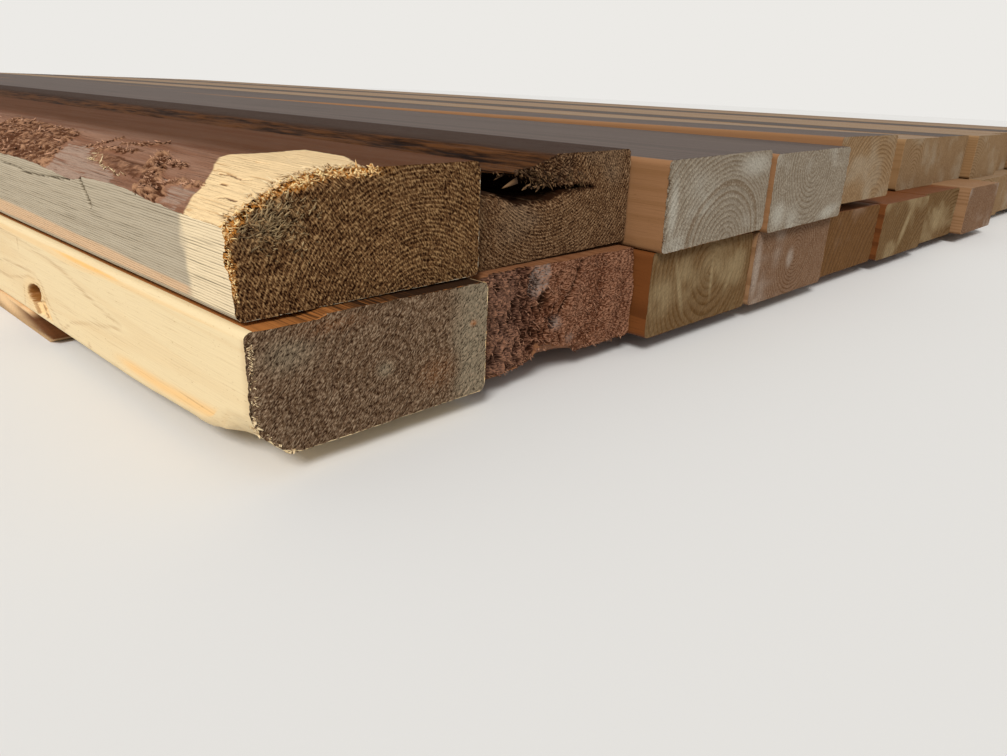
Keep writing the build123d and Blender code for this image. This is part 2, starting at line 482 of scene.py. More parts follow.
class WaneyBoard(Board):
    """First upper board: the round of the log along its upper left, with scraps of bark."""
    plain_top = False
    log_radius = 58.0
    log_taper = 0.0125
    wane_width = 37.0
    # height of the torn edge between left face and wane, at places along the board
    edge_places = (0, 26, 44, 66, 86, 102, 104, 113, 132, 161, 192, 230)
    edge_heights = (24.9, 25.4, 26.2, 28.1, 27.9, 27.6, 26.6, 25.3, 26.6, 27.8, 27.3, 28.4)
    # scraps of bark left on the wane, as lines of (x, y), with their width and height
    scraps = (
        (((1.4, 46), (3.7, 56), (7.5, 61), (11.8, 67), (15.1, 73)), 5.0, 2.6),
        (((4.3, 51), (7.3, 49), (8.9, 45), (8.4, 38), (10.2, 32)), 1.5, 1.1),
        (((15.4, 54), (15.2, 66)), 1.7, 1.0),
        (((13, 117), (15.2, 110), (15, 104), (16.5, 93)), 1.7, 1.4),
        (((19, 112), (21, 103), (22, 96), (26.5, 92)), 1.5, 1.1),
        (((12.5, 128), (17, 122), (23, 121)), 1.2, 0.8),
    )
    # edge of the inner bark, as places along the board and across it, and a crack in that bark
    layer_edge = (68, 83, 96, 113), (5.0, 5.5, 6.5, 8.0)
    crack = ((12.2, 98), (11.2, 84), (11.6, 72))
    # where the sheet of bark breaks up, and where its last scraps are, further along
    sheet_patchy_from, sheet_thins, sheet_ends = 235, 700, 860
    # limit of the painted sunlight, a pale cream patch on the round beside the end: its length at
    # places across, and its width at places along the board, and the short cracks in it
    sunlit_length = (0, 4.4, 8.9, 13.2, 25, 38, 57), (25.5, 30, 32, 35.6, 51, 51, 55)
    sunlit_width = (0, 30, 55), (43, 56.6, 58)
    cream_cracks = (
        ((16, 35), (16.8, 29), (15.9, 21), (17, 17)), ((7.5, 20), (8.4, 16), (8.1, 10)),
        ((40, 40), (41.6, 33), (42.5, 29)), ((27, 33), (27.6, 26)), ((12.4, 27), (12.2, 22.5)),
    )
    # a crack and a long split in the left face, as lines of (z, y)
    side_crack = ((27.2, 103), (23.2, 100), (21.5, 98.5), (18.5, 96.3))
    side_split = ((24.1, 194), (23.6, 172), (22.7, 161), (23.8, 138), (25.3, 113))
    # middle and reach of the tufts of torn fibre on the end, and of the grey stain under them
    tuft_place, grey_place = ((13, 26), (24, 17)), ((11, 26), (20, 14))

    def round_top(self, x, y):
        """Height of the log's round over the wane."""
        radius = self.log_radius + self.log_taper * y
        inner = np.minimum(x, self.wane_width) - self.wane_width
        return self.thickness - self.log_radius + np.sqrt(radius**2 - inner**2)

    def limits(self, x, y):
        low, high = super().limits(x, y)
        wane = self.round_top(x, y)
        edge = np.interp(y, self.edge_places, self.edge_heights)
        ragged = edge + 0.5 * self.rough(11, y / 5, y / 37)
        outer = self.round_top(np.zeros_like(x), y)
        wane = wane + (ragged - outer) * smooth_step(4.5, 0, x) * smooth_step(520, 230, y)
        # only the right edge of the top is eased
        flat = np.where(x < board_width / 2, self.thickness, high)
        return low, np.minimum(flat, np.where(x < self.wane_width, wane, flat))

    def plates(self, x, y):
        """Ragged plates of bark of two sizes, each at its own height, and cracks below 0."""
        crack = np.abs(self.rough(40, x / 2.7, (y + x) / 5.5, octaves=2))
        total = -1.1 * smooth_step(0.13, 0.03, crack)
        for size, share in ((1.0, 0.6), (0.45, 0.4)):
            across = (x + 0.9 * self.rough(35, x / 3, y / 3)) / (2.7 * size)
            along = (y + 0.5 * x + 1.4 * self.rough(36, x / 3, y / 3)) / (4.4 * size)
            total = total + share * lattice(self.seed + 37, [np.floor(across), np.floor(along)])
        return total

    def bark(self, x, y):
        """Height of the bark left on the round, and how much of it shows."""
        ragged = 1.5 * self.rough(12, x / 2.0, y / 2.6)
        height, cover = np.zeros_like(x), np.zeros_like(x)
        for line, width, tall in self.scraps:
            here = smooth_step(width, width * 0.45, near_line(x, y, line) + ragged)
            height = np.maximum(height, here * tall * (0.3 + 0.75 * self.plates(x, y)))
            cover = np.maximum(cover, here)
        # a thin layer of inner bark with a sharp edge
        edge = np.interp(y, *self.layer_edge)
        layer = smooth_step(0, 0.5, np.minimum.reduce([x - edge, 12 - x, y - 70, 114 - y]) + 0.6 * ragged)
        # the rough sheet that is left further back
        back = smooth_step(0, 2.5, np.minimum(y - 135 - 0.85 * x, 17 + 0.03 * y - x) + 2 * ragged)
        patchy = smooth_step(-0.35, 0.15, self.rough(14, x / 9, y / 45))
        back = back * np.where(y < self.sheet_patchy_from, 1.0, patchy)
        back = back * smooth_step(self.sheet_ends, self.sheet_thins, y)
        sheet = back * (0.35 + 0.85 * self.plates(x, y))
        height = np.maximum.reduce([height, 0.5 * layer, sheet])
        return height, np.maximum.reduce([cover, 0.45 * layer, back * 0.75])

    def clean_skin(self, x, y):
        """1 where the round lies smooth and pale between the scraps of bark."""
        ragged = 2.4 * self.rough(38, x / 4, y / 7)
        right = np.interp(x, (0, 4, 7, 9), (76, 82, 96, 103))
        first = np.minimum.reduce([x + 2, 0.5 * (14 - x), y - right, 0.4 * (146 - y)]) + ragged
        second = np.minimum.reduce([x + 2, 9.5 - x, y - 30, 57 - y]) + ragged
        return np.maximum(smooth_step(-0.4, 1.5, first), 0.9 * smooth_step(-0.6, 3.0, second))

    def painted_sunlight(self, x, y):
        """1 where sunlight is painted on the round beside the end, as pale cream wood."""
        ragged = 0.8 * self.rough(16, x / 4, y / 4)
        length = np.interp(x, *self.sunlit_length)
        width = np.interp(y, *self.sunlit_width)
        return smooth_step(-0.6, 0.6, np.minimum(length - y, width - x) + ragged)

    def dress(self, side, x, y, z):
        if side == "top":
            return self.dress_round(x, y, z)
        if side == "left":
            return self.dress_left(x, y, z)
        return super().dress(side, x, y, z)

    def dress_round(self, x, y, z):
        """The wane and the flat of the top: bark, smooth skin, and painted sunlight in pale cream at the end.
        """
        height, cover = self.bark(x, y)
        # painted sunlight: a pale cream patch beside the end, with the bark left off
        painted_sunlight = self.painted_sunlight(x, y)
        height = height * (1 - painted_sunlight)
        cover = cover * (1 - painted_sunlight)
        groove = smooth_step(0.9, 0.2, near_line(x, y, self.crack)) * 0.9
        fine = 0.12 * self.rough(17, x / 1.4, y / 14) - 0.12
        lift = np.where(x < self.wane_width + 12, height - groove + fine, 0.3 * fine)
        # bark stands out at a right angle to the round
        turn = np.clip((self.wane_width - x) / self.log_radius, 0, 0.64)
        x_out = np.maximum(x - lift * turn, -0.35)
        z_out = z + lift * np.sqrt(1 - turn**2)
        tone = -0.9 * groove + 0.35 * self.rough(18, x / 3, y / 60) + 0.3 * fine
        # painted shade: the bark is darker in the cracks between its plates and where it lies low, lighter
        # where it stands high
        tone = tone + cover * (0.3 * height - 1.1 + 1.1 * self.plates(x, y))
        tone = tone + 1.3 * self.clean_skin(x, y) * (1 - cover) * (1 - painted_sunlight)
        # torn rim, splits along the grain, and cracks across it
        torn = smooth_step(4.5, 0, y + 2.4 * self.rough(25, x / 2.2, y / 2.2)) * smooth_step(50, 40, x)
        split = smooth_step(0.42, 0.7, self.rough(26, x / 1.3, y / 13)) * painted_sunlight
        cracks = np.minimum.reduce([near_line(x, y, line) for line in self.cream_cracks])
        cracks = smooth_step(0.5, 0.2, cracks)
        z_out = z_out - 0.7 * cracks
        cover = np.maximum(cover, 0.7 * cracks)
        # matted fibres beside the rim
        mat = smooth_step(11, 2, y + 3 * self.rough(41, x / 5, y / 5)) * smooth_step(50, 42, x)
        tangle = torn_fibres(self.seed + 42, x, y, 0.5, 0.9, 2.6)
        z_out = z_out + 0.45 * mat * tangle
        tone = tone - 0.9 * torn - 0.45 * split - 0.8 * cracks
        # painted shade: the matted fibres are darker where they lie low
        tone = tone - 1.5 * mat * np.clip(-tangle - 0.1, 0, 1)
        return (x_out, y, z_out), {"tone": tone, "stain_and_painted_sunlight": painted_sunlight, "bark": cover}

    def dress_left(self, x, y, z):
        """The sawn left face: grey, partly as painted shade, with painted sunlight in pale cream at the end
        and in a peach strip low down, and a painted shadow along its lowest edge.
        """
        saw = 0.1 * (1 + self.noise(20, z / 2, y / 25))
        crack = smooth_step(1.3, 0.5, near_line(z, y, self.side_crack)) * 1.6
        split = smooth_step(0.8, 0.2, near_line(z, y, self.side_split) + 0.2)
        cut = crack + split
        # painted sunlight: the face is pale cream near the end
        clean = smooth_step(30, 24, y + 2 * self.noise(21, z / 6, y / 6))
        # painted sunlight: a peach strip low down on the face
        low = smooth_step(5.6, 4.4, z - 0.012 * y + 0.3 * self.noise(22, y / 30, z))
        tone = -1.5 * cut + 0.15 * self.rough(24, z / 5, y / 30)
        # painted shadow: nearly black along the lowest edge, where the face overhangs the board below
        tone = tone - 3.0 * smooth_step(1.5, 0.9, z + 0.2 * self.rough(30, y / 9, z))
        moved = x + saw * (1 - 0.6 * low) + cut, y, z
        return moved, {"tone": tone, "stain_and_painted_sunlight": clean, "bark": 0.6 * low * (1 - clean)}

    def end_depth(self, x, z):
        reach = self.rim(x, z) + 2.2 * self.rough(27, x / 4.5, z / 4.5)
        # torn deeper all along the round and the left face, but not to the right or low down
        torn = smooth_step(4.4, 0.2, reach) * smooth_step(48, 38, x) * smooth_step(4, 18, z)
        chips = 1 + 0.9 * self.rough(28, x / 1.5, z / 1.5)
        return super().end_depth(x, z) + 2.8 * torn * chips + 0.7 * self.tufts(x, z)

    def tufts(self, x, z):
        """Coarse tufts of torn fibre in the upper left of the end, from 0 to 2."""
        strokes = torn_fibres(self.seed + 33, x, z, -0.75, 0.9, 2.9)
        return blob(x, z, *self.tuft_place) * (1 + 1.2 * strokes)

    def rim(self, x, z):
        """Distance inside the round of the log and the left face, on the near end."""
        inner = np.minimum(x, self.wane_width) - self.wane_width
        inside = self.log_radius - np.hypot(inner, z - self.thickness + self.log_radius)
        inside = np.where(x < self.wane_width + 3, inside, 0.7 * (self.thickness - z) + 1.2)
        return np.minimum(inside, 1.3 * x + 0.6)

    def end_marks(self, x, z, depth):
        marks = super().end_marks(x, z, depth)
        grey = blob(x, z, *self.grey_place)
        marks["stain_and_painted_sunlight"] = np.clip(0.15 * marks["stain_and_painted_sunlight"] + 0.75 * grey, 0, 1)
        tint_and_painted_light = smooth_step(3.6, 0.8, self.rim(x, z) + 1.8 * self.rough(23, x / 2.2, z / 2.2))
        marks["bark"] = tint_and_painted_light * smooth_step(62, 36, x) * smooth_step(0, 16, z)
        marks["tone"] = marks["tone"] + 0.9 * marks["bark"] * self.rough(29, x / 1.1, z / 1.1)
        # painted shade: darker in the gaps between the tufts, which lie deeper
        marks["tone"] = marks["tone"] - 1.3 * (self.tufts(x, z) - blob(x, z, *self.tuft_place))
        return marks


class ScarredBoard(Board):
    """Second upper board: a long bark scar along its upper left, with a pocket in its end."""
    plain_top = False
    scar_radius = 80.0
    scar_centre = 14.0
    scar_depth = 5.5
    scar_length = 950.0
    # mouth of the pocket on the near end: heights of its floor and roof at places across
    floor_line = (-4, 5, 13, 23, 36, 46, 58, 68), (27, 26.5, 25, 21.5, 21, 23, 24.5, 24)
    roof_line = (-4, 16, 26, 34, 45, 58, 68), (34, 33.5, 32, 28.5, 26.5, 26.5, 24)
    pocket_right = 67

    def roof(self, x):
        return np.interp(x, *self.roof_line)

    def limits(self, x, y):
        low, high = super().limits(x, y)
        bottom = self.thickness - self.scar_depth * (1 - y / self.scar_length)
        inner = np.clip(x - self.scar_centre, -self.scar_radius, self.scar_radius)
        scoop = bottom + self.scar_radius - np.sqrt(self.scar_radius**2 - inner**2)
        return low, np.minimum(high, scoop)

    def pocket(self, x, z):
        """How far inside the pocket's mouth each point lies; negative outside it."""
        ragged = 1.2 * self.rough(11, x / 2.0, z / 2.4)
        inside = np.minimum(z - np.interp(x, *self.floor_line), self.roof(x) - z) + ragged
        return np.where(x < self.pocket_right, inside, -9)

    def above(self, x, z):
        """1 in the torn wood over the pocket's roof."""
        return smooth_step(0, 1.5, z - self.roof(x)) * smooth_step(64, 50, x)

    def end_depth(self, x, z):
        inside = self.pocket(x, z)
        hollow = smooth_step(0, 2.6, inside) * (14 + 60 * smooth_step(50, 8, x))
        lip = 2.4 * smooth_step(-5, 0, inside) * smooth_step(60, 30, x)
        chips = 1 + self.rough(12, x / 1.7, z / 3.0)
        return super().end_depth(x, z) + hollow + 1.1 * lip * chips + 1.5 * self.above(x, z) * chips

    def end_marks(self, x, z, depth):
        marks = super().end_marks(x, z, depth)
        inside = self.pocket(x, z)
        # painted shade: the pocket is nearly black inside, partly its dark bark, and darker round its mouth
        marks["bark"] = smooth_step(-0.6, 0.5, inside)
        marks["tone"] = marks["tone"] - 0.8 * smooth_step(-1.5, 0, inside) - 0.5 * self.above(x, z)
        return marks

    def dress(self, side, x, y, z):
        if side == "top":
            scar = smooth_step(46, 38, x + 2 * self.rough(13, x / 9, y / 40))
            scar = scar * smooth_step(self.scar_length, 600, y)
            streak = self.rough(14, x / 2.6, y / 45, octaves=4)
            lift = scar * (1.5 * streak - 0.8) - 0.1
            return (x, y, z + lift), {"tone": scar * streak, "bark": scar}
        return super().dress(side, x, y, z)


class PlanedBoard(Board):
    """First lower board: a planed face with a fallen knot, and a splintered lower corner."""
    # the hole of the fallen knot, along the board and up: its middle, reach and depth
    knot_place, knot_reach, knot_depth = (181.0, 10.5), (9.0, 3.9), 9.0
    # the broken knot below it, across its slanting grain: its middle, half width and top
    body_middle, body_reach, body_top = -1.0, 9.6, 9.0
    body_crack = ((176.2, 7.0), (174.0, 5.9), (176.1, 3.4), (172.7, 2.9), (173.5, -0.5))
    # faint growth rings in the left face, as lines of (y, z), with their width
    ring_lines = (
        (((420, 36), (230, 33.5), (159, 31), (129, 26.3), (115, 23), (102, 21), (87.6, 18.8)), 1.0),
        (((87.6, 18.8), (104, 15.3), (119, 13.1), (140, 8.1), (150, 3.2), (158, 0)), 1.0),
        (((330, 15.5), (227, 17.9), (199, 20.1), (187, 20.5), (176, 20.1), (170, 17), (165, 10), (150, 2)),
         0.9),
        (((300, 9), (215, 12), (196, 15.5), (187, 17.8), (178, 17.5), (172, 14.5), (168, 10)), 0.8),
        (((200, 0), (198, 5), (196, 11.6)), 0.8),
        (((900, 22), (700, 26), (520, 21), (440, 12), (420, 4), (410, 0)), 1.6),
        (((860, 12), (700, 15), (560, 8), (520, 0)), 1.6),
    )
    # small marks on the face, as places along it and up: a bark speck, pin knots and a short dash
    speck_place = (123, 3.1)
    pin_places = ((56, 16), (10, 19.7), (69, 34.8), (27.9, 29.8), (31, 8))
    dash_line = ((194, 32), (194.3, 28))
    # lower limit of the pale strip under the upper edge, as places along the face and heights
    strip_line = (0, 75, 97, 117, 142, 160, 400), (36, 34.1, 33.7, 32.5, 32.4, 33.3, 34)

    def limits(self, x, y):
        low, high = super().limits(x, y)
        # the left strip of the top was planed lower
        strip = smooth_step(24.5, 22.6, x + 0.5 * self.rough(11, y / 7, y / 31))
        high = high - 1.2 * strip * smooth_step(900, 400, y)
        # splinters are missing from the lower left corner, and from the edge behind it
        corner = 9.0 * smooth_step(12, 0, x) * smooth_step(34, 4, y)
        edge = 3.4 * smooth_step(95, 0, y) * smooth_step(4.5, 0, x)
        ragged = 1 + 0.35 * self.rough(12, x / 2.5, y / 9)
        return low + (corner + edge) * ragged, high

    def end_depth(self, x, z):
        # the saw chewed the left edge
        chewed = 2.2 * smooth_step(5.5, 0, x + 1.5 * self.rough(13, z / 2.5, z / 9)) * smooth_step(2, 8, z)
        return super().end_depth(x, z) + chewed * (0.6 + 0.4 * self.rough(14, x / 1.2, z / 1.5))

    def end_marks(self, x, z, depth):
        marks = super().end_marks(x, z, depth)
        pale = blob(x, z, (12, 30), (17, 10))
        right = smooth_step(66, 84, x + 2.5 * self.rough(15, x / 8, z / 8))
        heart = blob(x, z, self.pith, (6, 5))
        red = blob(x, z, (27, 36), (22, 5)) + blob(x, z, (66, 12), (16, 12))
        amber = blob(x, z, (82.6, 25.7), (2.6, 2.2))
        marks["stain_and_painted_sunlight"] = np.clip(0.6 * pale + right + 0.7 * heart - 0.6 * red, 0, 1)
        marks["bark"] = np.clip(amber + 0.35 * red, 0, 1)
        return marks

    def dress(self, side, x, y, z):
        if side == "left":
            return self.dress_left(x, y, z)
        moved, marks = super().dress(side, x, y, z)
        if side == "top":
            # painted shade: darker to the right, under the board above
            marks["tone"] = marks["tone"] - np.interp(x, (3, 70), (0, 1.8))
        return moved, marks

    def dress_left(self, x, y, z):
        """The planed left face with the knot in it."""
        place, height = self.knot_place
        across, up = self.knot_reach
        saw = 0.05 * (1 + self.noise(16, z / 0.9, y / 50))
        hole = np.hypot((y - place - 1.5) / across, (z - height - 0.9 - 0.16 * (place - y)) / up)
        hole = hole + 0.12 * self.rough(17, y / 2.2, z / 2.2)
        hollow = self.knot_depth * smooth_step(1.05, 0.75, hole)
        # what is left of the knot has ridges along its own slanting grain, and dark seams beside it
        slant = y - place + 0.9 * (height - z)
        off = np.abs(slant - self.body_middle)
        body = smooth_step(10.5, 9.0, off) * smooth_step(self.body_top, 7.6, z + 0.16 * slant)
        ridges = self.rough(18, slant / 2.2, z / 6)
        broken = body * (1.4 + 1.3 * ridges)
        beside = smooth_step(1.4, 0.6, np.abs(off - self.body_reach)) * smooth_step(9, 7, z)
        seams = np.maximum(smooth_step(0.9, 0.3, near_line(y, z, self.body_crack)), beside)
        lines = np.zeros_like(y)
        for ring_line, width in self.ring_lines:
            lines = np.maximum(lines, smooth_step(1.7 * width, 0.2 * width, near_line(y, z, ring_line)))
        around = np.hypot((y - place) / 15, (z - 7) / 11)
        speck = np.hypot(y - self.speck_place[0], z - self.speck_place[1])
        pins = sum(blob(y, z, spot, (1.0, 0.7)) for spot in self.pin_places)
        dash = smooth_step(0.9, 0.4, near_line(y, z, self.dash_line))
        # painted shade: the knot hole is darker, partly the knot's own dark wood
        tone = (-1.2 * smooth_step(1.2, 0.9, hole) - 0.9 * body * (0.35 - ridges) - 1.3 * seams
                - 0.75 * lines - 0.9 * smooth_step(2.6, 1.2, speck) - 0.8 * pins - 0.8 * dash
                + 0.12 * self.rough(20, z / 2, y / 60))
        # stains: peach low down near the end, a resin streak near the top, grey at the very end
        peach = smooth_step(4.5, 0, np.abs(z - 6 - 0.05 * np.maximum(60 - y, 0))) * smooth_step(110, 80, y)
        streak = np.hypot((y - 118) / 15, (z - 36.2) / 0.8) + 0.5 * self.rough(22, y / 11, z / 2)
        amber = smooth_step(2.6, 0.3, streak)
        grey = smooth_step(7, 1.5, y + self.noise(21, z / 7, y / 7))
        strip = smooth_step(-0.6, 0.6, z - np.interp(y, *self.strip_line))
        stain_and_painted_sunlight = 0.6 * peach + amber + 0.35 * strip + 0.15 * body + 0.3 * smooth_step(1.5, 0.7, around)
        # the knot hole's dark mark is partly painted shade in its hollow
        dark = smooth_step(1.08, 0.97, hole) + 0.35 * grey + 0.5 * seams
        return (x + saw + hollow + broken, y, z), {
            "tone": tone - 0.25 * peach, "stain_and_painted_sunlight": np.clip(stain_and_painted_sunlight, 0, 1), "bark": np.clip(dark, 0, 1)}


class TornBoard(Board):
    """Second lower board: its end was torn, not sawn, and a bite is out of its lower edge."""
    # the bite, as places across and heights, and on the end a slanting groove and a dark hole
    notch_line = (19, 27, 29.5, 39, 49, 52), (0, 2.4, 6.0, 5.1, 3.0, 0)
    groove = ((54, 37), (48.7, 28), (42.8, 20), (37, 13))
    hole_place = ((32, 24.5), (4.2, 6.0))

    def limits(self, x, y):
        low, high = super().limits(x, y)
        bite = np.interp(x, *self.notch_line) * smooth_step(13, 2, y)
        bite = bite * (1 + 0.3 * self.rough(11, x / 2, y / 3))
        frayed = 0.9 * (1 + self.rough(17, x / 1.8, y / 2)) * smooth_step(9, 1, y) * smooth_step(1, 5, x)
        return low + bite + frayed, high

    def end_depth(self, x, z):
        blocks = self.noise(12, x / 7.5, z / 19)
        clumps = 1 - 2 * np.abs(self.rough(13, (x + 0.3 * z) / 3.4, z / 6.5))
        crumbs = self.rough(15, x / 1.8, z / 2.4, octaves=4)
        wool = smooth_step(62, 26, x + 0.3 * z)
        tears = 1.6 * (1 + blocks) * 0.5 + (0.5 + 1.4 * wool) * (1 - clumps)
        tears = tears + (0.6 + 0.5 * wool) * (1 + crumbs)
        return super().end_depth(x, z) + tears + 2.6 * self.hollows(x, z)

    def hollows(self, x, z):
        """1 in the hole, and less in the slanting groove, in the middle of the end. Both are painted dark as
        shade.
        """
        ragged = 0.7 * self.rough(16, x / 2, z / 2)
        groove = smooth_step(1.7, 0.2, near_line(x, z, self.groove) + ragged)
        return np.maximum(0.55 * groove, blob(x, z, *self.hole_place))

    def end_marks(self, x, z, depth):
        marks = super().end_marks(x, z, depth)
        ragged = self.rough(14, x / 5, z / 9)
        pale = smooth_step(5, 3, np.abs(x - 29.5 - 0.1 * (z - 35) + 1.2 * ragged)) * smooth_step(25, 31, z)
        low = blob(x, z, (49, 7), (4.5, 4)) + blob(x, z, (40, 15), (6, 5))
        marks["stain_and_painted_sunlight"] = np.clip(0.9 * pale + 0.8 * low + 0.3 * smooth_step(45, 10, x + 2 * ragged), 0, 1)
        # painted shade: darker where the end is torn deeper, lighter where it stands out, and dark in the
        # hole and the groove
        marks["tone"] = 0.6 * marks["tone"] + 1.6 * smooth_step(5.2, 1.8, depth) - 0.9
        marks["bark"] = 0.8 * self.hollows(x, z)
        return marks


# Materials

def add(tree, kind, inputs=(), output=0, **settings):
    """Adds a shader node with its settings and inputs, and returns one of its outputs."""
    node = tree.nodes.new("ShaderNode" + kind)
    for name, value in settings.items():
        setattr(node, name, value)
    for key, value in inputs.items() if isinstance(inputs, dict) else enumerate(inputs):
        if isinstance(value, bpy.types.NodeSocket):
            tree.links.new(value, node.inputs[key])
        else:
            node.inputs[key].default_value = linear(value) if isinstance(value, str) else value
    return node.outputs[output] if node.outputs else None


def coats(tree, colour, *layers):
    """Lays colours over one another. Each layer has a mask, the two mask values between which it
    rises from nothing to its strength, that strength and the colour."""
    for mask, none, full, strength, over in layers:
        amount = add(tree, "MapRange", [mask, none, full, 0.0, strength], interpolation_type="SMOOTHSTEP")
        colour = add(tree, "Mix", {0: amount, 6: colour, 7: over}, output=2, data_type="RGBA")
    return colour


def start_wood(name):
    """A material's node tree, with the grain and the marks that the board's mesh carries."""
    material = bpy.data.materials.new(name)
    material.use_nodes = True
    tree = material.node_tree
    tree.nodes.clear()
    grain = add(tree, "Attribute", output="Vector", attribute_name="grain")
    marks = [add(tree, "Attribute", output="Fac", attribute_name=mark) for mark in Skin.mark_names]
    return material, tree, grain, marks


# Typical of the cell walls of wood
wood_ior = 1.5


def finish_wood(tree, colour, height, relief, roughness, gloss=0.2):
    """Bare wood is matt, with hardly any gloss: a colour, and a fine relief of that depth in metres."""
    normal = add(tree, "Bump", {"Strength": 1.0, "Distance": relief, "Height": height})
    wood = add(tree, "BsdfPrincipled", {
        "Base Color": colour, "Roughness": roughness, "IOR": wood_ior, "Specular IOR Level": gloss,
        "Normal": normal,
    })
    add(tree, "OutputMaterial", [wood])


def late_wood(tree, grain, ring, begins=late_start):
    """Dark late wood, from 0 to 1, in growth rings of that spacing round the pith."""
    flat = add(tree, "VectorMath", [grain, (1, 0, 1)], operation="MULTIPLY")
    radius = add(tree, "VectorMath", [flat], output="Value", operation="LENGTH")
    count = add(tree, "Math", [radius, 1 / ring], operation="MULTIPLY")
    for length, amount, start in ring_sway:
        turn = add(tree, "Math", [radius, 1 / length, start], operation="MULTIPLY_ADD")
        sway = add(tree, "Math", [turn], operation="SINE")
        count = add(tree, "Math", [sway, amount, count], operation="MULTIPLY_ADD")
    turn = add(tree, "Math", [count], operation="FRACT")
    rise = add(tree, "MapRange", [turn, begins, late_full, 0.0, 1.0], interpolation_type="SMOOTHSTEP")
    fall = add(tree, "MapRange", [turn, late_end, 1.0, 1.0, 0.0], interpolation_type="SMOOTHSTEP")
    return add(tree, "Math", [rise, fall], operation="MULTIPLY")


# A single wood fibre is 0.03 mm thick, which is too fine to show. The strokes, streaks and specks of
# the materials are drawn as bundles of fibres, about half a millimetre thick.

def figure(tree, grain, sizes, lean=0.0, detail=2.0, roughness=0.55):
    """A random figure whose spots have those sizes, in millimetres across, along and up the board."""
    place = add(tree, "Mapping", {
        "Vector": grain, "Rotation": (0, math.radians(lean), 0), "Scale": sizes,
    }, vector_type="TEXTURE")
    return add(tree, "TexNoise", {"Vector": place, "Scale": 1.0, "Detail": detail, "Roughness": roughness})


def end_grain(name, wood, late, painted_pit_shade, tip, stain_and_painted_sunlight, ring, tint_and_painted_light="#7c5a30", speck=1.0, lean=60,
              strength=0.5, ridges=0.0, contrast=1.0):
    """Sawn end grain: open, matt fibre ends, with painted shade in the pits and a painted highlight on the
    tips. Growth rings show in colour, and on a torn end their late wood also stands up as rows of tufts,
    made pale as painted highlight."""
    material, tree, grain, (tone, stained_and_sunlit, tinted_and_painted) = start_wood(name)
    rings = late_wood(tree, grain, ring)
    strokes = figure(tree, grain, (speck, 3.0, speck * 2.6), lean=lean, detail=1.5, roughness=0.6)
    patches = figure(tree, grain, (13, 60, 11))
    share = add(tree, "MapRange", [patches, 0.3, 0.6, 0.55, 1.0])
    seen_rings = add(tree, "Math", [rings, share], operation="MULTIPLY")
    tufts = add(tree, "Math", [seen_rings, ridges, -0.4 * ridges], operation="MULTIPLY_ADD")
    level = add(tree, "Math", [tone, 0.14, strokes], operation="MULTIPLY_ADD")
    level = add(tree, "Math", [level, tufts], operation="ADD")
    colour = coats(
        tree, wood,
        (seen_rings, 0, 1, strength, late),
        (stained_and_sunlit, 0, 1, 0.85, stain_and_painted_sunlight),
        (tinted_and_painted, 0, 1, 0.9, tint_and_painted_light),
        # painted shade in the pits and painted highlight on the tips, both following the relief
        (level, 0.5, 0.34, contrast, painted_pit_shade),
        (level, 0.5, 0.68, contrast, tip),
    )
    finish_wood(tree, colour, level, relief=0.0004, roughness=0.9, gloss=0.04)
    return material


# A wave texture of scale 1 has a line every 0.314 mm
wave_spacing = 0.314


def long_grain(name, wood, late, dark, stain_and_painted_sunlight, ring, other="#7c5222", streak=0.5, strength=0.5,
               begins=late_start, saw_lines=0.0, roughness=0.62, relief=0.00012):
    """Planed or sawn face: growth rings run out along it, crossed by fine, silky fibre streaks.
    A rough-sawn face also has saw lines, given by their spacing in millimetres."""
    material, tree, grain, (tone, stained_and_sunlit, marked) = start_wood(name)
    rings = late_wood(tree, grain, ring, begins)
    fibres = figure(tree, grain, (0.55, 26, 0.55), detail=3.0)
    specks = figure(tree, grain, (0.5, 2.2, 0.5))
    patches = figure(tree, grain, (14, 170, 14))
    level = add(tree, "Math", [tone, 0.3, fibres], operation="MULTIPLY_ADD")
    if saw_lines:
        lines = add(tree, "TexWave", {
            "Vector": grain, "Scale": wave_spacing / saw_lines,
            "Distortion": 1.1, "Detail": 3.0, "Detail Scale": 0.3,
        }, output="Fac", bands_direction="Z")
        lines = add(tree, "MapRange", [lines, 0.05, 0.5, 0.0, 1.0])
        fibres = add(tree, "Math", [lines, 0.7, fibres], operation="MULTIPLY_ADD")
        level = add(tree, "Math", [lines, 0.18, level], operation="MULTIPLY_ADD")
        level = add(tree, "Math", [level, 0.15], operation="SUBTRACT")
    colour = coats(
        tree, wood,
        (rings, 0, 1, strength, late),
        (patches, 0.5, 0.75, 0.3, late),
        (stained_and_sunlit, 0, 1, 1, stain_and_painted_sunlight),
        (level, 0.47, 0.05, streak * 2, dark),
        (marked, 0, 1, 1, other),
        (specks, 0.34, 0.22, 0.5, dark),
        (level, 0.55, 1.0, 0.4, wood),
    )
    finish_wood(tree, colour, fibres, relief, roughness, gloss=0.12)
    return material


# Over how many millimetres the log's round turns into the sawn top
sawn_blend = 30


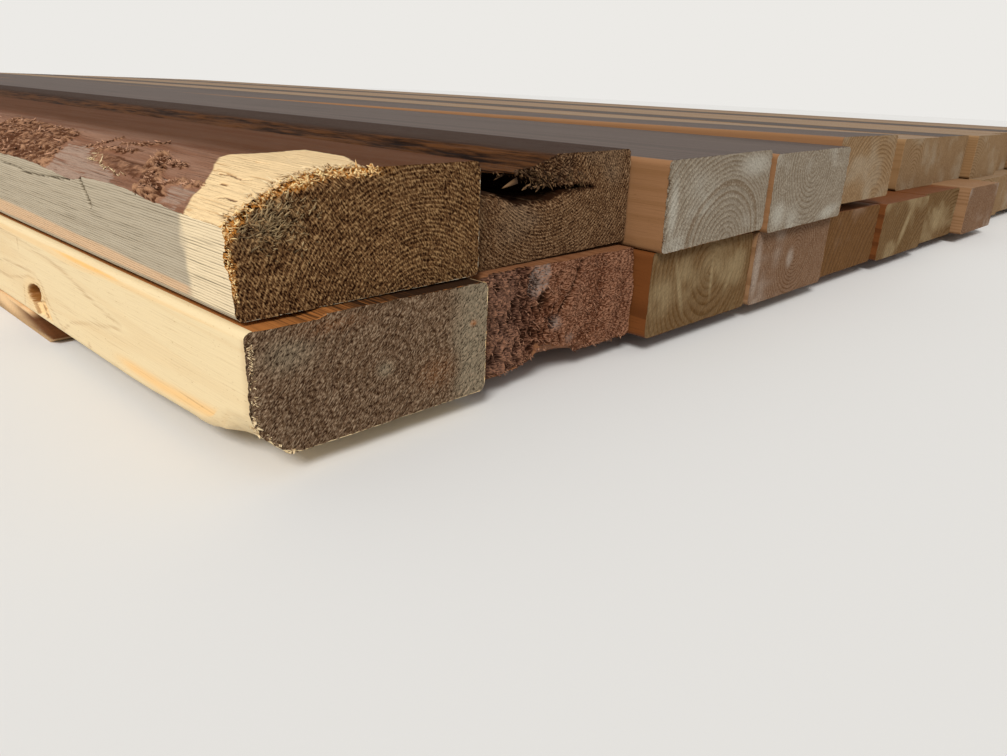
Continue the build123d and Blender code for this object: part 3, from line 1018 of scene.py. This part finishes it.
def waney_face(name, inner, streak, skin, sawn, bark, bark_tip, painted_sunlight, painted_sunlight_streak, sawn_from,
               crumb=(1.6, 3.2, 1.6)):
    """The log's own round under the bark: smooth and brown, darker where the saw cut it flat, partly as
    painted shade, with scraps of rough bark left on it, and painted sunlight in pale cream where it is
    marked."""
    material, tree, grain, (tone, sunlit, covered) = start_wood(name)
    fibres = figure(tree, grain, (0.8, 30, 0.8), detail=3.0)
    clouds = figure(tree, grain, (7, 90, 7), detail=3.0)
    crumbs = figure(tree, grain, crumb, detail=6.0, roughness=0.65)
    level = add(tree, "Math", [tone, 0.35, fibres], operation="MULTIPLY_ADD")
    across = add(tree, "SeparateXYZ", [grain])
    colour = coats(
        tree, inner,
        (clouds, 0.36, 0.66, 0.75, streak),
        # painted shade: the sawn flat of the top is darker, partly its own colour
        (across, sawn_from, sawn_from + sawn_blend, 0.85, sawn),
        (level, 0.47, 0.15, 0.8, bark),
        (level, 0.66, 0.95, 0.9, skin),
    )
    # painted sunlight: pale cream with darker splits
    pale = coats(tree, painted_sunlight, (level, 0.42, 0.1, 0.9, painted_sunlight_streak))
    bits = add(tree, "Math", [tone, 0.25, crumbs], operation="MULTIPLY_ADD")
    rough_bark = coats(tree, bark, (bits, 0.3, 0.64, 1, bark_tip))
    colour = coats(tree, colour, (sunlit, 0, 1, 1, pale), (covered, 0.15, 0.7, 1, rough_bark))
    height = add(tree, "Mix", {0: covered, 2: fibres, 3: crumbs})
    finish_wood(tree, colour, height, relief=0.0016, roughness=0.8, gloss=0.06)
    return material


def torn_fibre(name, base, tip):
    """Loose splinters: thin and bright, each a little different in colour."""
    material, tree, grain, (tone, _, _) = start_wood(name)
    streaks = figure(tree, grain, (0.3, 0.3, 0.3))
    colour = coats(tree, base, (tone, 0, 1, 1, tip), (streaks, 0.45, 0.25, 0.5, base))
    finish_wood(tree, colour, streaks, relief=0.0001, roughness=0.7)
    return material


# Near ends, all of bare softwood cut across the grain and left as sawn. Their colours are darkened as painted
# shade.
ends = {
    # Douglas fir torn by a blunt saw: dark and woolly, with rows of pale tufts along the rings
    "weathered_fir": end_grain(
        "fir_end_torn_by_saw", "#5b3f26", "#6a4a2b", "#1d0b02", "#957650", "#54432f", 1.4,
        tint_and_painted_light="#b8772f", speck=0.46, lean=-35, strength=0.32, ridges=0.105, contrast=1.0),
    # the same wood beside a bark pocket, whose hollow is nearly black: partly dark bark, partly painted shade
    "bark_scarred_fir": end_grain(
        "fir_end_torn_beside_bark", "#5a402a", "#694c30", "#200e04", "#8a6f52", "#6b5744", 1.35,
        tint_and_painted_light="#120702", speck=0.42, lean=-50, strength=0.33, ridges=0.13, contrast=0.95),
    # spruce left fuzzy by the saw: grey-brown felt that hides most of the rings
    "planed_spruce": end_grain(
        "spruce_end_fuzzy_sawn", "#624c39", "#4b3623", "#241207", "#8f7a63", "#827661", 3.1,
        tint_and_painted_light="#8f5a34", speck=0.43, lean=40, strength=0.66, ridges=-0.02, contrast=0.9),
    # red heartwood broken off before the saw was through: deep crumbs, with painted shade nearly black
    # between them
    "red_torn_fir": end_grain(
        "red_fir_end_torn", "#53311f", "#452413", "#1f0b03", "#8a634c", "#87756a", 2.2,
        tint_and_painted_light="#2f2216", speck=0.5, lean=80, strength=0.4, contrast=0.9),
    # pine sawn clean: golden brown with broad dark rings
    "golden_pine": end_grain(
        "pine_end_sawn", "#664e33", "#4e3416", "#452e17", "#866d4e", "#8d7a5b", 3.6,
        speck=0.6, lean=20, strength=0.7, contrast=0.25),
    # fir sawn clean: pinkish brown with narrow rings
    "pinkish_fir": end_grain(
        "fir_end_sawn", "#745944", "#573a24", "#48301f", "#927d68", "#958678", 2.0,
        speck=0.5, lean=80, strength=0.8, contrast=0.35),
    # spruce sawn with a sharp blade: pale grey, with fine rings that read as clear arcs
    "pale_spruce": end_grain(
        "spruce_end_sawn_clean", "#817565", "#655542", "#594735", "#a69c8a", "#a09a8d", 2.4,
        tint_and_painted_light="#65503a", speck=0.5, lean=-40, strength=0.6, ridges=-0.04, contrast=0.45),
    # plain spruce: straw brown, slightly greyed
    "plain_spruce": end_grain(
        "spruce_end_sawn", "#83694c", "#64482c", "#523a22", "#a38d6e", "#90806a", 2.6,
        speck=0.5, lean=30, strength=0.8, contrast=0.3),
}
# red heartwood sawn clean, whose wide rings run across the end as dark streaks
streaked_end = end_grain(
    "red_fir_end_sawn", "#644629", "#4e331c", "#42290f", "#836549", "#7d6450", 4.4,
    speck=0.6, lean=60, strength=0.7, contrast=0.2)
other_ends = {"lower_board_05": streaked_end, "upper_board_05": ends["plain_spruce"]}

# Long faces, bare and matt
faces = {
    # rough sawn: saw lines catch the light on wood that is grey, partly as painted shade, with painted
    # sunlight in cream at the end and in peach low down
    "weathered_fir": long_grain(
        "fir_face_rough_sawn", "#b3a58d", "#a09078", "#625541", "#e6d0aa", 1.7, other="#dfb285",
        streak=0.45, strength=0.2, saw_lines=0.8, roughness=0.8, relief=0.0002),
    # sawn and dusty: mid brown with short dark streaks
    "bark_scarred_fir": long_grain(
        "fir_face_sawn", "#6f523a", "#553a24", "#3a2413", "#5f4029", 1.5, streak=0.4),
    # planed: smooth cream with only the last late wood of each ring showing, as faint lines
    "planed_spruce": long_grain(
        "spruce_face_planed", "#e2cb9f", "#cda56e", "#9c6e3e", "#efba70", 3.3, other="#8a5a2a",
        streak=0.25, strength=0.12, begins=0.82, roughness=0.5),
    # sawn red heartwood: warm red-brown bands
    "red_torn_fir": long_grain(
        "red_fir_face_sawn", "#83583a", "#63391f", "#46240f", "#7a5a44", 2.2, streak=0.4),
    # planed pine in the shade of its neighbours: deep amber bands
    "golden_pine": long_grain(
        "pine_face_planed", "#6b3d1b", "#4a260c", "#3f1f09", "#6b3d1b", 3.4, streak=0.3, strength=0.6),
    # planed fir: pinkish tan with narrow bands
    "pinkish_fir": long_grain(
        "fir_face_planed", "#8f6c4c", "#6b4829", "#50331c", "#7c5836", 2.0, streak=0.3),
    # planed spruce: even, warm tan
    "pale_spruce": long_grain(
        "spruce_face_planed_clean", "#8b6443", "#77522f", "#5c3d20", "#8a6240", 3.0,
        streak=0.3, strength=0.3),
    # sawn spruce: straw brown with soft bands
    "plain_spruce": long_grain(
        "spruce_face_sawn", "#8a6a47", "#70502f", "#5a3f26", "#86674a", 2.3, streak=0.3, strength=0.4),
}

# Tops that differ from the other long faces of their board
tops = {
    # the log under its bark: smooth pinkish brown skin, crumbly bark, painted sunlight in cream at the
    # end, and the sawn flat darker, partly as painted shade
    "weathered_fir": waney_face(
        "log_round_stripped_of_bark", "#95705a", "#75482f", "#a28876", "#4d2806", "#54321e", "#ab7f5f",
        "#ebcb9a", "#b27c42", sawn_from=-50),
    # a scar lined with old bark: nearly black, with long rusty fibres
    "bark_scarred_fir": waney_face(
        "bark_scar", "#3c2719", "#2c1b10", "#3c2719", "#43332a", "#120703", "#57351a", "#6f523a", "#3a2413",
        sawn_from=-6, crumb=(1.8, 26, 1.8)),
    # spruce under the board above: orange-brown, partly as painted shade, and nearly black to the right as
    # painted shade
    "planed_spruce": long_grain(
        "spruce_top_in_painted_shade", "#a86a36", "#8a5428", "#2a180b", "#a86a36", 3.1, strength=0.3),
    # slate grey as painted shade, with dark brown streaks
    "pale_spruce": long_grain(
        "spruce_top_grey_in_painted_shade", "#53453d", "#281d17", "#2a201a", "#50463f", 3.0, streak=0.4, strength=0.3),
    # lately sawn: tan with soft brown bands
    "plain_spruce": long_grain(
        "spruce_top_sawn", "#8b7256", "#6a4f36", "#4f3a28", "#7a6148", 2.3, streak=0.45, strength=0.6),
}
# some of the plain boards have the same painted shade on their tops as their neighbours
other_tops = {f"upper_board_{number:02d}": tops["pale_spruce"] for number in (6, 8, 11)}

# Loose fibres of torn wood and bark: dark at the root, bright and thin at the tip
splinter_gold = torn_fibre("torn_fibre_golden", "#b87a36", "#f4d79c")
splinter_red = torn_fibre("torn_fibre_red", "#4a2110", "#a67a5e")
splinter_brown = torn_fibre("torn_fibre_brown", "#2a1609", "#77593a")
loose_bark = torn_fibre("loose_bark", "#583621", "#bf9172")
splinter_grey = torn_fibre("torn_fibre_grey", "#3a2815", "#b59a70")
splinter_pale = torn_fibre("torn_fibre_pale", "#9a7850", "#f0d8ac")

# Rough-sawn lath: fresh peach wood with coarse saw marks, dark brown on its waney near edge, partly bark and
# partly painted shade
lath_wood = long_grain(
    "rough_sawn_lath", "#e6c293", "#c99a68", "#8a6238", "#e6c293", 2.0, other="#5a3418",
    streak=0.4, roughness=0.8, relief=0.0003)


# The boards, from left to right

# bold: ends torn deep by the saw. clean: ends sawn smooth.
bold = dict(fuzz=0.4, wave=0.5, ridge=0.25, stroke=(0.95, 2.2), cap_pitch=0.45)
clean = dict(fuzz=0.2, wave=0.3, ridge=0.2, stroke=(1.0, 2.4), cap_pitch=0.7)
# stretches of the mesh on the boards nearest the eye: reach, step along, step across the seen sides
front_detail = (
    (0.1, 0.1, 0.6), (2.4, 0.6, 0.6), (60, 0.9, 0.7), (235, 1.1, 0.8), (420, 3.0, 2.0), (900, 12.0, 4.0),
    (board_length, 60.0, 8.0))
wane_detail = ((0.1, 0.1, 0.5), (2.4, 0.6, 0.42), (45, 0.5, 0.42)) + front_detail[2:]
knot_detail = front_detail[:3] + ((162, 1.1, 0.8), (198, 0.55, 0.5)) + front_detail[3:]
scar_detail = ((0.1, 0.1, 0.6), (2.4, 0.6, 0.6), (90, 1.5, 1.0), (420, 6.0, 2.0), (board_length, 60.0, 6.0))
near_detail = (
    (0.1, 0.1, 0.7), (2.4, 0.6, 0.7), (10, 1.2, 1.2), (60, 5.0, 3.0), (400, 30.0, 6.0),
    (board_length, 90.0, 9.0))

lower_01 = PlanedBoard("lower_board_01", "planed_spruce", (45, 18), 11, lean=0.7, ring=3.1,
                       drift=(-14.0, 400.0), detail=knot_detail, open_sides=("left",),
                       **{**bold, "ridge": 0.1})
lower_02 = TornBoard("lower_board_02", "red_torn_fir", (52, 58), 12, lean=1.3, ring=2.2,
                     detail=near_detail, **bold)
upper_01 = WaneyBoard("upper_board_01", "weathered_fir", (65, -13), 31, lean=-0.6, ring=1.4,
                      twist=math.radians(0.5), detail=wane_detail, **{**bold, "ridge": 0.12})
upper_02 = ScarredBoard("upper_board_02", "bark_scarred_fir", (38, 47), 32, lean=-0.9, ring=1.35,
                        twist=math.radians(1.1), detail=scar_detail, **{**bold, "ridge": 0.16})
upper_03 = Board("upper_board_03", "pale_spruce", (54, -3), 33, lean=-0.7, ring=2.4, squeeze=0.8,
                 twist=math.radians(1.3), pale=((74, 32, 26, 9, 0), (6, 18, 6, 22, 0)),
                 bands=((28.5, 1.7), (24.0, 0.8)), detail=near_detail, **clean)
boards = [
    lower_01,
    lower_02,
    Board("lower_board_03", "golden_pine", (50, 24), 13, ring=3.6, detail=near_detail,
          pale=((24, 20, 3.5, 24, 22), (52, 22, 3, 20, 4), (72, 22, 4, 22, -28)), **clean),
    Board("lower_board_04", "pinkish_fir", (48, 22), 14, ring=2.0, detail=near_detail,
          pale=((4, 18, 7, 28, 0), (42, 20, 7, 9, 0)), **clean),
    Board("lower_board_05", "red_torn_fir", (148, -41), 15, ring=4.4, lean=1.4, **clean),
    Board("lower_board_06", "golden_pine", (112, -32), 16, ring=3.4, pale=((48, 20, 7, 30, -32),), **clean),
    Board("lower_board_07", "golden_pine", (84, -16), 17, ring=3.4, pale=((44, 14, 22, 14, 0),), **clean),
    Board("lower_board_08", "pinkish_fir", (10, 20), 18, ring=2.0, **clean),
    upper_01,
    upper_02,
    upper_03,
    Board("upper_board_04", "pale_spruce", (43, 30), 34, lean=0.6, ring=2.4,
          twist=math.radians(0.9), pale=((10, 8, 14, 12, 0), (72, 4, 22, 6, 8)), detail=near_detail, **clean),
    Board("upper_board_05", "pale_spruce", (65, -11), 35, lean=0.9, ring=2.6, bow=6.0,
          detail=near_detail, **clean),
]
# the boards further right: plain, each from another place in its log, and lighter or darker
plain_piths = ((20, -30), (70, 55), (44, -8), (10, 50), (80, -20), (50, 70), (30, 10), (95, 40), (5, -15))
plain_boards = [f"lower_board_{k:02d}" for k in range(9, 14)] + [f"upper_board_{k:02d}" for k in range(6, 14)]
for index, node in enumerate(plain_boards):
    boards.append(Board(node, "plain_spruce", plain_piths[index % len(plain_piths)], 50 + index, ring=2.3,
                        shade=0.9 * math.sin(2.4 * index)))

for board in boards:
    end = other_ends.get(board.node, ends[board.slot])
    top = other_tops.get(board.node, tops.get(board.slot, faces[board.slot]))
    make_board(board, [end, faces[board.slot], top])


# Splinters and frayed fibres, each a thin three-sided spike that bends a little

# places along a spike where it has a ring of three points, and its tip
spike_rings = (0.0, 0.4, 0.75, 1.0)
third_turns = (0.0, math.tau / 3, 2 * math.tau / 3)
spike_curl = 0.22


def make_splinters(name, board, roots, ways, lengths, widths, material, seed, planted=True, taper=0.7):
    """One piece with a spike at each root, given in the board's own measure. Planted spikes
    stand on the near end. The smaller the taper, the blunter they are."""
    chance = np.random.default_rng(seed)
    roots = np.array(roots, float)
    if planted:
        roots[:, 1] = board.end_depth(roots[:, 0], roots[:, 2]) + 0.3
    ways = np.asarray(ways, float) / np.linalg.norm(ways, axis=1)[:, None]
    curl = chance.normal(0, spike_curl, roots.shape)
    across = np.cross(ways, (0.31, 0.23, 0.92))
    across /= np.linalg.norm(across, axis=1)[:, None]
    over = np.cross(ways, across)
    points, bright = [], []
    shade = chance.uniform(0, 1, len(roots))
    for reach in spike_rings:
        middle = roots + ways * (lengths * reach)[:, None] + curl * (lengths * reach**2)[:, None]
        radius = (widths / 2 * (1 - reach) ** taper)[:, None]
        for turn in third_turns if reach < 1 else (0.0,):
            points.append(middle + radius * (math.cos(turn) * across + 0.6 * math.sin(turn) * over))
            bright.append(np.clip(shade * 0.7 + 0.5 * reach, 0, 1))
    first = len(points) * np.arange(len(roots))[:, None]
    points = np.stack(points, axis=1).reshape(-1, 3)
    points[:, 0] = np.maximum(points[:, 0], 0.0)
    bright = np.stack(bright, axis=1).ravel()
    sides = ((0, 1), (1, 2), (2, 0))
    quads = [first + (r + c, r + d, r + 3 + d, r + 3 + c) for r in (0, 3) for c, d in sides]
    triangles = [first + (6 + c, 6 + d, 9) for c, d in sides] + [first + (2, 1, 0)]
    corners = np.concatenate([np.ravel(face) for face in quads + triangles])
    sizes = np.repeat((4, 3), (len(roots) * len(quads), len(roots) * len(triangles)))
    placed = board.place(points[:, 0], points[:, 1], points[:, 2])
    piece = make_piece(name, placed, corners, sizes, [material], marks={"grain": points, "tone": bright})
    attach(piece, "root")


def fringe(name, board, seeds, count, low, high, way, spread, lengths, widths, material, shift=None,
           **settings):
    """Spikes at random places between two corners, all about one way. Most are short: the two
    lengths are the least, and what the longest has more. The widths are given alike."""
    chance = np.random.default_rng(seeds[0])
    roots = chance.uniform(low, high, (count, 3))
    ways = np.array(way) + chance.normal(0, 1, (count, 3)) * np.array(spread)
    size = chance.uniform(0, 1, count)
    if shift:
        roots, kept = shift(roots)
        roots, ways, size = roots[kept], ways[kept], size[kept]
    make_splinters(name, board, roots, ways, lengths[0] + lengths[1] * size**2, widths[0] + widths[1] * size,
                   material, seeds[1], **settings)


def on_side(board, level, y=None):
    """Lifts roots by the height of the board's underside (level 0) or top (level 1)."""
    def shift(roots):
        place = roots[:, 1] if y is None else np.full(len(roots), y)
        roots[:, 2] += board.limits(roots[:, 0], place)[level]
        return roots, slice(None)
    return shift


# gold and cream chips along the torn rim of the waney board, and pale ones lying back on its top
fringe("wane_fringe", upper_01, (61, 1), 460, (0.6, 0.6, -2.6), (48, 3.4, 0.1), (-0.35, -0.35, 0.35),
       (0.5, 0.35, 0.35), (0.6, 1.5), (0.6, 0.9), splinter_gold, on_side(upper_01, 1, y=0.0))
fringe("wane_curls", upper_01, (70, 11), 150, (1, 2.5, -0.2), (44, 9, 0.1), (-0.75, 0.25, 0.3),
       (0.4, 0.4, 0.2), (0.8, 2.2), (0.4, 0.6), splinter_pale, on_side(upper_01, 1), planted=False)

# grey tufts that curl up and to the right, in the upper left of the end
chance = np.random.default_rng(71)
roots = chance.normal((12, 1, 26.5), (6.5, 0, 4.6), (560, 3))
roots = roots[upper_01.rim(roots[:, 0], roots[:, 2]) > 2.5]
ways = np.array((0.62, -0.3, 0.62)) + chance.normal(0, 0.42, roots.shape)
size = chance.uniform(0, 1, len(roots))
make_splinters("end_tufts", upper_01, roots, ways, 1.2 + 1.5 * size, 0.55 + 0.4 * size, splinter_grey, 12)

# pale torn edge of the thin layer of inner bark: slivers along its left edge, then across its end
chance = np.random.default_rng(74)
along_edge, across_end = 40, 26
slivers = along_edge + across_end
place = np.concatenate([chance.uniform(77, 113, along_edge), chance.uniform(109, 115, across_end)])
edge = np.interp(place, *upper_01.layer_edge) + 0.4 * np.sin(place / 2.3)
across = np.where(np.arange(slivers) < along_edge, edge, chance.uniform(7.5, 11, slivers))
roots = np.column_stack([across, place, upper_01.limits(across, place)[1] + 0.2])
ways = np.array((-0.1, -0.7, 0.18)) + chance.normal(0, (0.3, 0.6, 0.15), roots.shape)
size = chance.uniform(0, 1, slivers)
make_splinters("inner_bark_edge", upper_01, roots, ways, 1.2 + 1.8 * size**2, 0.5 + 0.4 * size,
               splinter_pale, 14, planted=False)

# loose flakes on the scraps of bark, so many to a millimetre of a scrap's width, and larger ones on
# the sheet of bark behind them
sheet_from, sheet_flakes, scrap_flakes = 136, 1000, 42
chance = np.random.default_rng(73)
roots = []
for line, width, tall in upper_01.scraps:
    place = chance.uniform(0, len(line) - 1, int(scrap_flakes * width))
    middle = np.stack([np.interp(place, range(len(line)), values) for values in zip(*line)], axis=1)
    roots.append(middle + chance.normal(0, 0.33 * width, middle.shape))
roots.append(chance.uniform((0.5, sheet_from), (22, 330), (sheet_flakes, 2)))
roots = np.concatenate(roots)
height, cover = upper_01.bark(roots[:, 0], roots[:, 1])
roots = np.column_stack([roots, upper_01.limits(roots[:, 0], roots[:, 1])[1] + 0.7 * height])
sheet = roots[:, 1] > sheet_from
ways = np.where(sheet[:, None], (0.1, -0.5, 0.0), (0.0, 0.0, 0.1))
ways = ways + chance.normal(0, (0.45, 0.6, 0.12), roots.shape)
size = chance.uniform(0, 1, len(roots)) ** 2 * np.where(sheet, 1.0, 0.35)
roots, ways, size = roots[cover > 0.3], ways[cover > 0.3], size[cover > 0.3]
make_splinters("bark_flakes", upper_01, roots, ways, 0.9 + 2.6 * size, 0.9 + 0.6 * size, loose_bark, 13,
               planted=False, taper=0.45)

# chips on the left edge of the same end
fringe("wane_side_fringe", upper_01, (68, 9), 120, (0.3, 0.6, 6), (1.4, 2.6, 25), (-0.45, -0.75, 0.2),
       (0.3, 0.3, 0.4), (0.6, 1.5), (0.4, 0.6), splinter_gold)

# pale fringe on the left edge of the planed board's end, and splinters at its broken corner
fringe("planed_end_fringe", lower_01, (62, 2), 140, (0.6, 0.8, 9), (2.2, 2.8, 36), (0.1, -0.9, 0.0),
       (0.3, 0.25, 0.5), (0.5, 0.9), (0.4, 0.5), splinter_pale)
fringe("broken_corner_splinters", lower_01, (63, 3), 90, (1.0, 0.3, 0.4), (13, 8, 2.0), (0.1, -0.6, -0.4),
       (0.3, 0.35, 0.25), (0.6, 1.2), (0.7, 1.1), splinter_pale, on_side(lower_01, 0), planted=False)


# torn end of the red board, longest at its lower edge
def on_whole_end(roots):
    """Leaves out roots where the lower edge is torn away."""
    return roots, roots[:, 2] > lower_02.limits(roots[:, 0], roots[:, 1])[0] + 0.3


def on_torn_edge(roots):
    """Sets roots just inside the end, on the board's ragged underside."""
    roots[:, 1] = lower_02.end_depth(roots[:, 0], roots[:, 2] + 3) + 0.4
    return on_side(lower_02, 0)(roots)


fringe("torn_end_fibres", lower_02, (64, 4), 620, (1, 2.2, 1), (88, 4.0, 38.5), (0.0, -0.8, -0.35),
       (0.35, 0.25, 0.4), (0.9, 1.8), (0.5, 0.6), splinter_red, on_whole_end)
fringe("torn_edge_fibres", lower_02, (69, 10), 110, (2, 1.0, 0.3), (88, 6.0, 1.6), (0.0, -0.7, -0.35),
       (0.35, 0.25, 0.15), (0.8, 1.2), (0.6, 0.8), splinter_red, on_torn_edge, planted=False)


# chips on the roof of the bark pocket, the tongue of fibres over its slit, and pieces inside
def on_roof(roots):
    """Lifts roots to the pocket's roof, and keeps them under the board's top."""
    roots[:, 2] += upper_02.roof(roots[:, 0])
    roots[:, 2] = np.minimum(roots[:, 2], upper_02.limits(roots[:, 0], roots[:, 1])[1] - 0.3)
    return roots, slice(None)


fringe("pocket_fringe", upper_02, (65, 5), 300, (13, 0.8, -0.8), (62, 3.2, 4.6), (0.1, -0.55, -0.8),
       (0.3, 0.25, 0.25), (0.9, 1.5), (0.6, 0.8), splinter_brown, on_roof)
chance = np.random.default_rng(66)
roots = chance.uniform((27, 1.6, 26.4), (40, 5.0, 29.0), (26, 3))
ways = np.array((-0.75, -0.3, -0.25)) + chance.normal(0, 1, (26, 3)) * 0.2
size = chance.uniform(0, 1, 26)
make_splinters("pocket_tongue", upper_02, roots, ways, 1.5 + 2 * size, 0.9 + 1.2 * size, splinter_brown, 6,
               planted=False)
roots = [(24, 5, 29.4), (25, 7, 28.4), (22, 9, 31.5)]
ways = [(-0.9, -0.15, -0.2), (-0.9, 0, -0.1), (-0.9, 0, -0.4)]
make_splinters("pocket_splinter", upper_02, roots, ways, np.array([8.0, 5.0, 4.5]), np.array([4.4, 3.6, 2.0]),
               splinter_brown, 7, planted=False)

# frayed left edge of the third upper board
fringe("third_board_fringe", upper_03, (67, 8), 130, (0.0, 0.2, 2), (0.8, 1.4, 36), (-0.1, -0.9, 0.1),
       (0.35, 0.2, 0.5), (0.5, 1.3), (0.2, 0.3), splinter_brown)


# Laths

# Section of a lath, from its near lower corner round over its top, as places across and heights.
# Its near edge is waney: a few of the first points are dark brown, partly bark and partly painted shade.
lath_outline = np.array([
    (6, 0), (0, 3.4), (11, 4.9), (22, 6.4), (34, 8), (46, 8), (58, 8), (72, 8), (85, 8), (85, 0), (60, 0),
    (30, 0)], float)
lath_width, lath_bark_from, lath_bark_to = 85, 1, 4
# stretch of the seen end that has a fine mesh, and the last stretch, which is one long step
lath_seen, lath_last = 60, 12


def make_lath(node, seed):
    """A thin strip with a waney near edge. Its underside stays flat on the floor."""
    low, high = (np.array(corner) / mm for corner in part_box(node))
    length = high[0] - low[0]
    seen = np.linspace(0, lath_seen, 31)
    along = np.concatenate([seen, np.linspace(lath_seen, length - lath_last, 50)[1:], [length]])
    place = np.arange(len(lath_outline))[None, :]
    worn = 0.5 * (1 + rough(seed, along[:, None] / 9, place * 1.3))
    across = lath_outline[None, :, 0] + worn * np.where(lath_outline[:, 0] < 40, 1.4, -0.7)[None, :]
    across = np.clip(across, 0, lath_width)
    up = lath_outline[None, :, 1] - 0.5 * worn * (lath_outline[None, :, 1] > 0)
    x = np.broadcast_to(along[:, None], across.shape)
    points = np.stack([low[0] + x, low[1] + across, up], axis=-1)
    grain = np.stack([across, x, up], axis=-1).reshape(-1, 3)
    count, around = across.shape
    numbers = np.arange(count * around).reshape(count, around)
    following = np.roll(numbers, -1, axis=1)
    sides = np.stack([numbers[:-1], numbers[1:], following[1:], following[:-1]], -1).reshape(-1, 4)
    corners = np.concatenate([sides.ravel(), numbers[0], numbers[-1][::-1]])
    sizes = np.concatenate([np.full(len(sides), 4), [around, around]])
    bark = np.zeros((count, around))
    # partly bark and partly painted shade along the waney near edge
    bark[:, lath_bark_from:lath_bark_to] = 1.0
    piece = make_piece(node + "_strip", points.reshape(-1, 3) * mm, corners, sizes, [lath_wood],
                       marks={"grain": grain, "bark": bark.ravel()})
    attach(piece, "root")
    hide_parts(node)


for index, node in enumerate(("lath_near", "lath_middle", "lath_far")):
    make_lath(node, 80 + index)


# Floor, light and camera

def plain_floor():
    """A pale matt floor that keeps the stack's shadow."""
    material = bpy.data.materials.new("plain_floor")
    material.use_nodes = True
    surface = material.node_tree.nodes["Principled BSDF"]
    surface.inputs["Base Color"].default_value = linear("#dcdad6")
    surface.inputs["Roughness"].default_value = 0.9
    surface.inputs["Specular IOR Level"].default_value = 0.1
    bpy.ops.mesh.primitive_plane_add(size=14.0, location=(0, 0, 0))
    floor = bpy.context.object
    floor.name = "floor"
    floor.data.materials.append(material)


def soft_daylight():
    """A low sun from the left, and an even white sky that shows as a pale grey background."""
    world = bpy.data.worlds.new("studio")
    bpy.context.scene.world = world
    world.use_nodes = True
    tree = world.node_tree
    tree.nodes.clear()
    light = add(tree, "Background", ["#ffffff", 0.55])
    seen = add(tree, "Background", ["#eceae6", 1.0])
    path = tree.nodes.new("ShaderNodeLightPath")
    shown = path.outputs["Is Camera Ray"]
    for ray in ("Is Glossy Ray", "Is Transmission Ray"):
        shown = add(tree, "Math", [shown, path.outputs[ray]], operation="MAXIMUM")
    both = add(tree, "MixShader", [shown, light, seen])
    add(tree, "OutputWorld", [both])
    lamp = bpy.data.lights.new("sun", "SUN")
    lamp.energy = 2.7
    lamp.angle = math.radians(18)
    sun = bpy.data.objects.new("sun", lamp)
    bpy.context.scene.collection.objects.link(sun)
    sun.rotation_mode = "QUATERNION"
    sun.rotation_quaternion = Vector((-0.62, -0.45, 0.64)).to_track_quat("Z", "Y")


def photo_camera():
    """The camera close to the left corner of the near ends, looking down along the stack."""
    turn, pitch, roll = (math.radians(angle) for angle in (46.77, 20.81, 2.5))
    forward = Vector((math.sin(turn) * math.cos(pitch), math.cos(turn) * math.cos(pitch), -math.sin(pitch)))
    level = Vector((math.cos(turn), -math.sin(turn), 0))
    up = level.cross(forward)
    right = level * math.cos(roll) + up * math.sin(roll)
    top = up * math.cos(roll) - level * math.sin(roll)
    lens = bpy.data.cameras.new("camera")
    lens.sensor_width = 36
    lens.sensor_fit = "HORIZONTAL"
    lens.lens = 27.55
    lens.clip_start = 0.01
    camera = bpy.data.objects.new("camera", lens)
    bpy.context.scene.collection.objects.link(camera)
    turned = Matrix((right, top, -forward)).transposed().to_4x4()
    camera.matrix_world = Matrix.Translation((-0.68295, -1.40935, 0.1095)) @ turned
    bpy.context.scene.camera = camera


plain_floor()
soft_daylight()
photo_camera()
bpy.context.scene.view_settings.view_transform = "Standard"

bpy.context.view_layer.update()
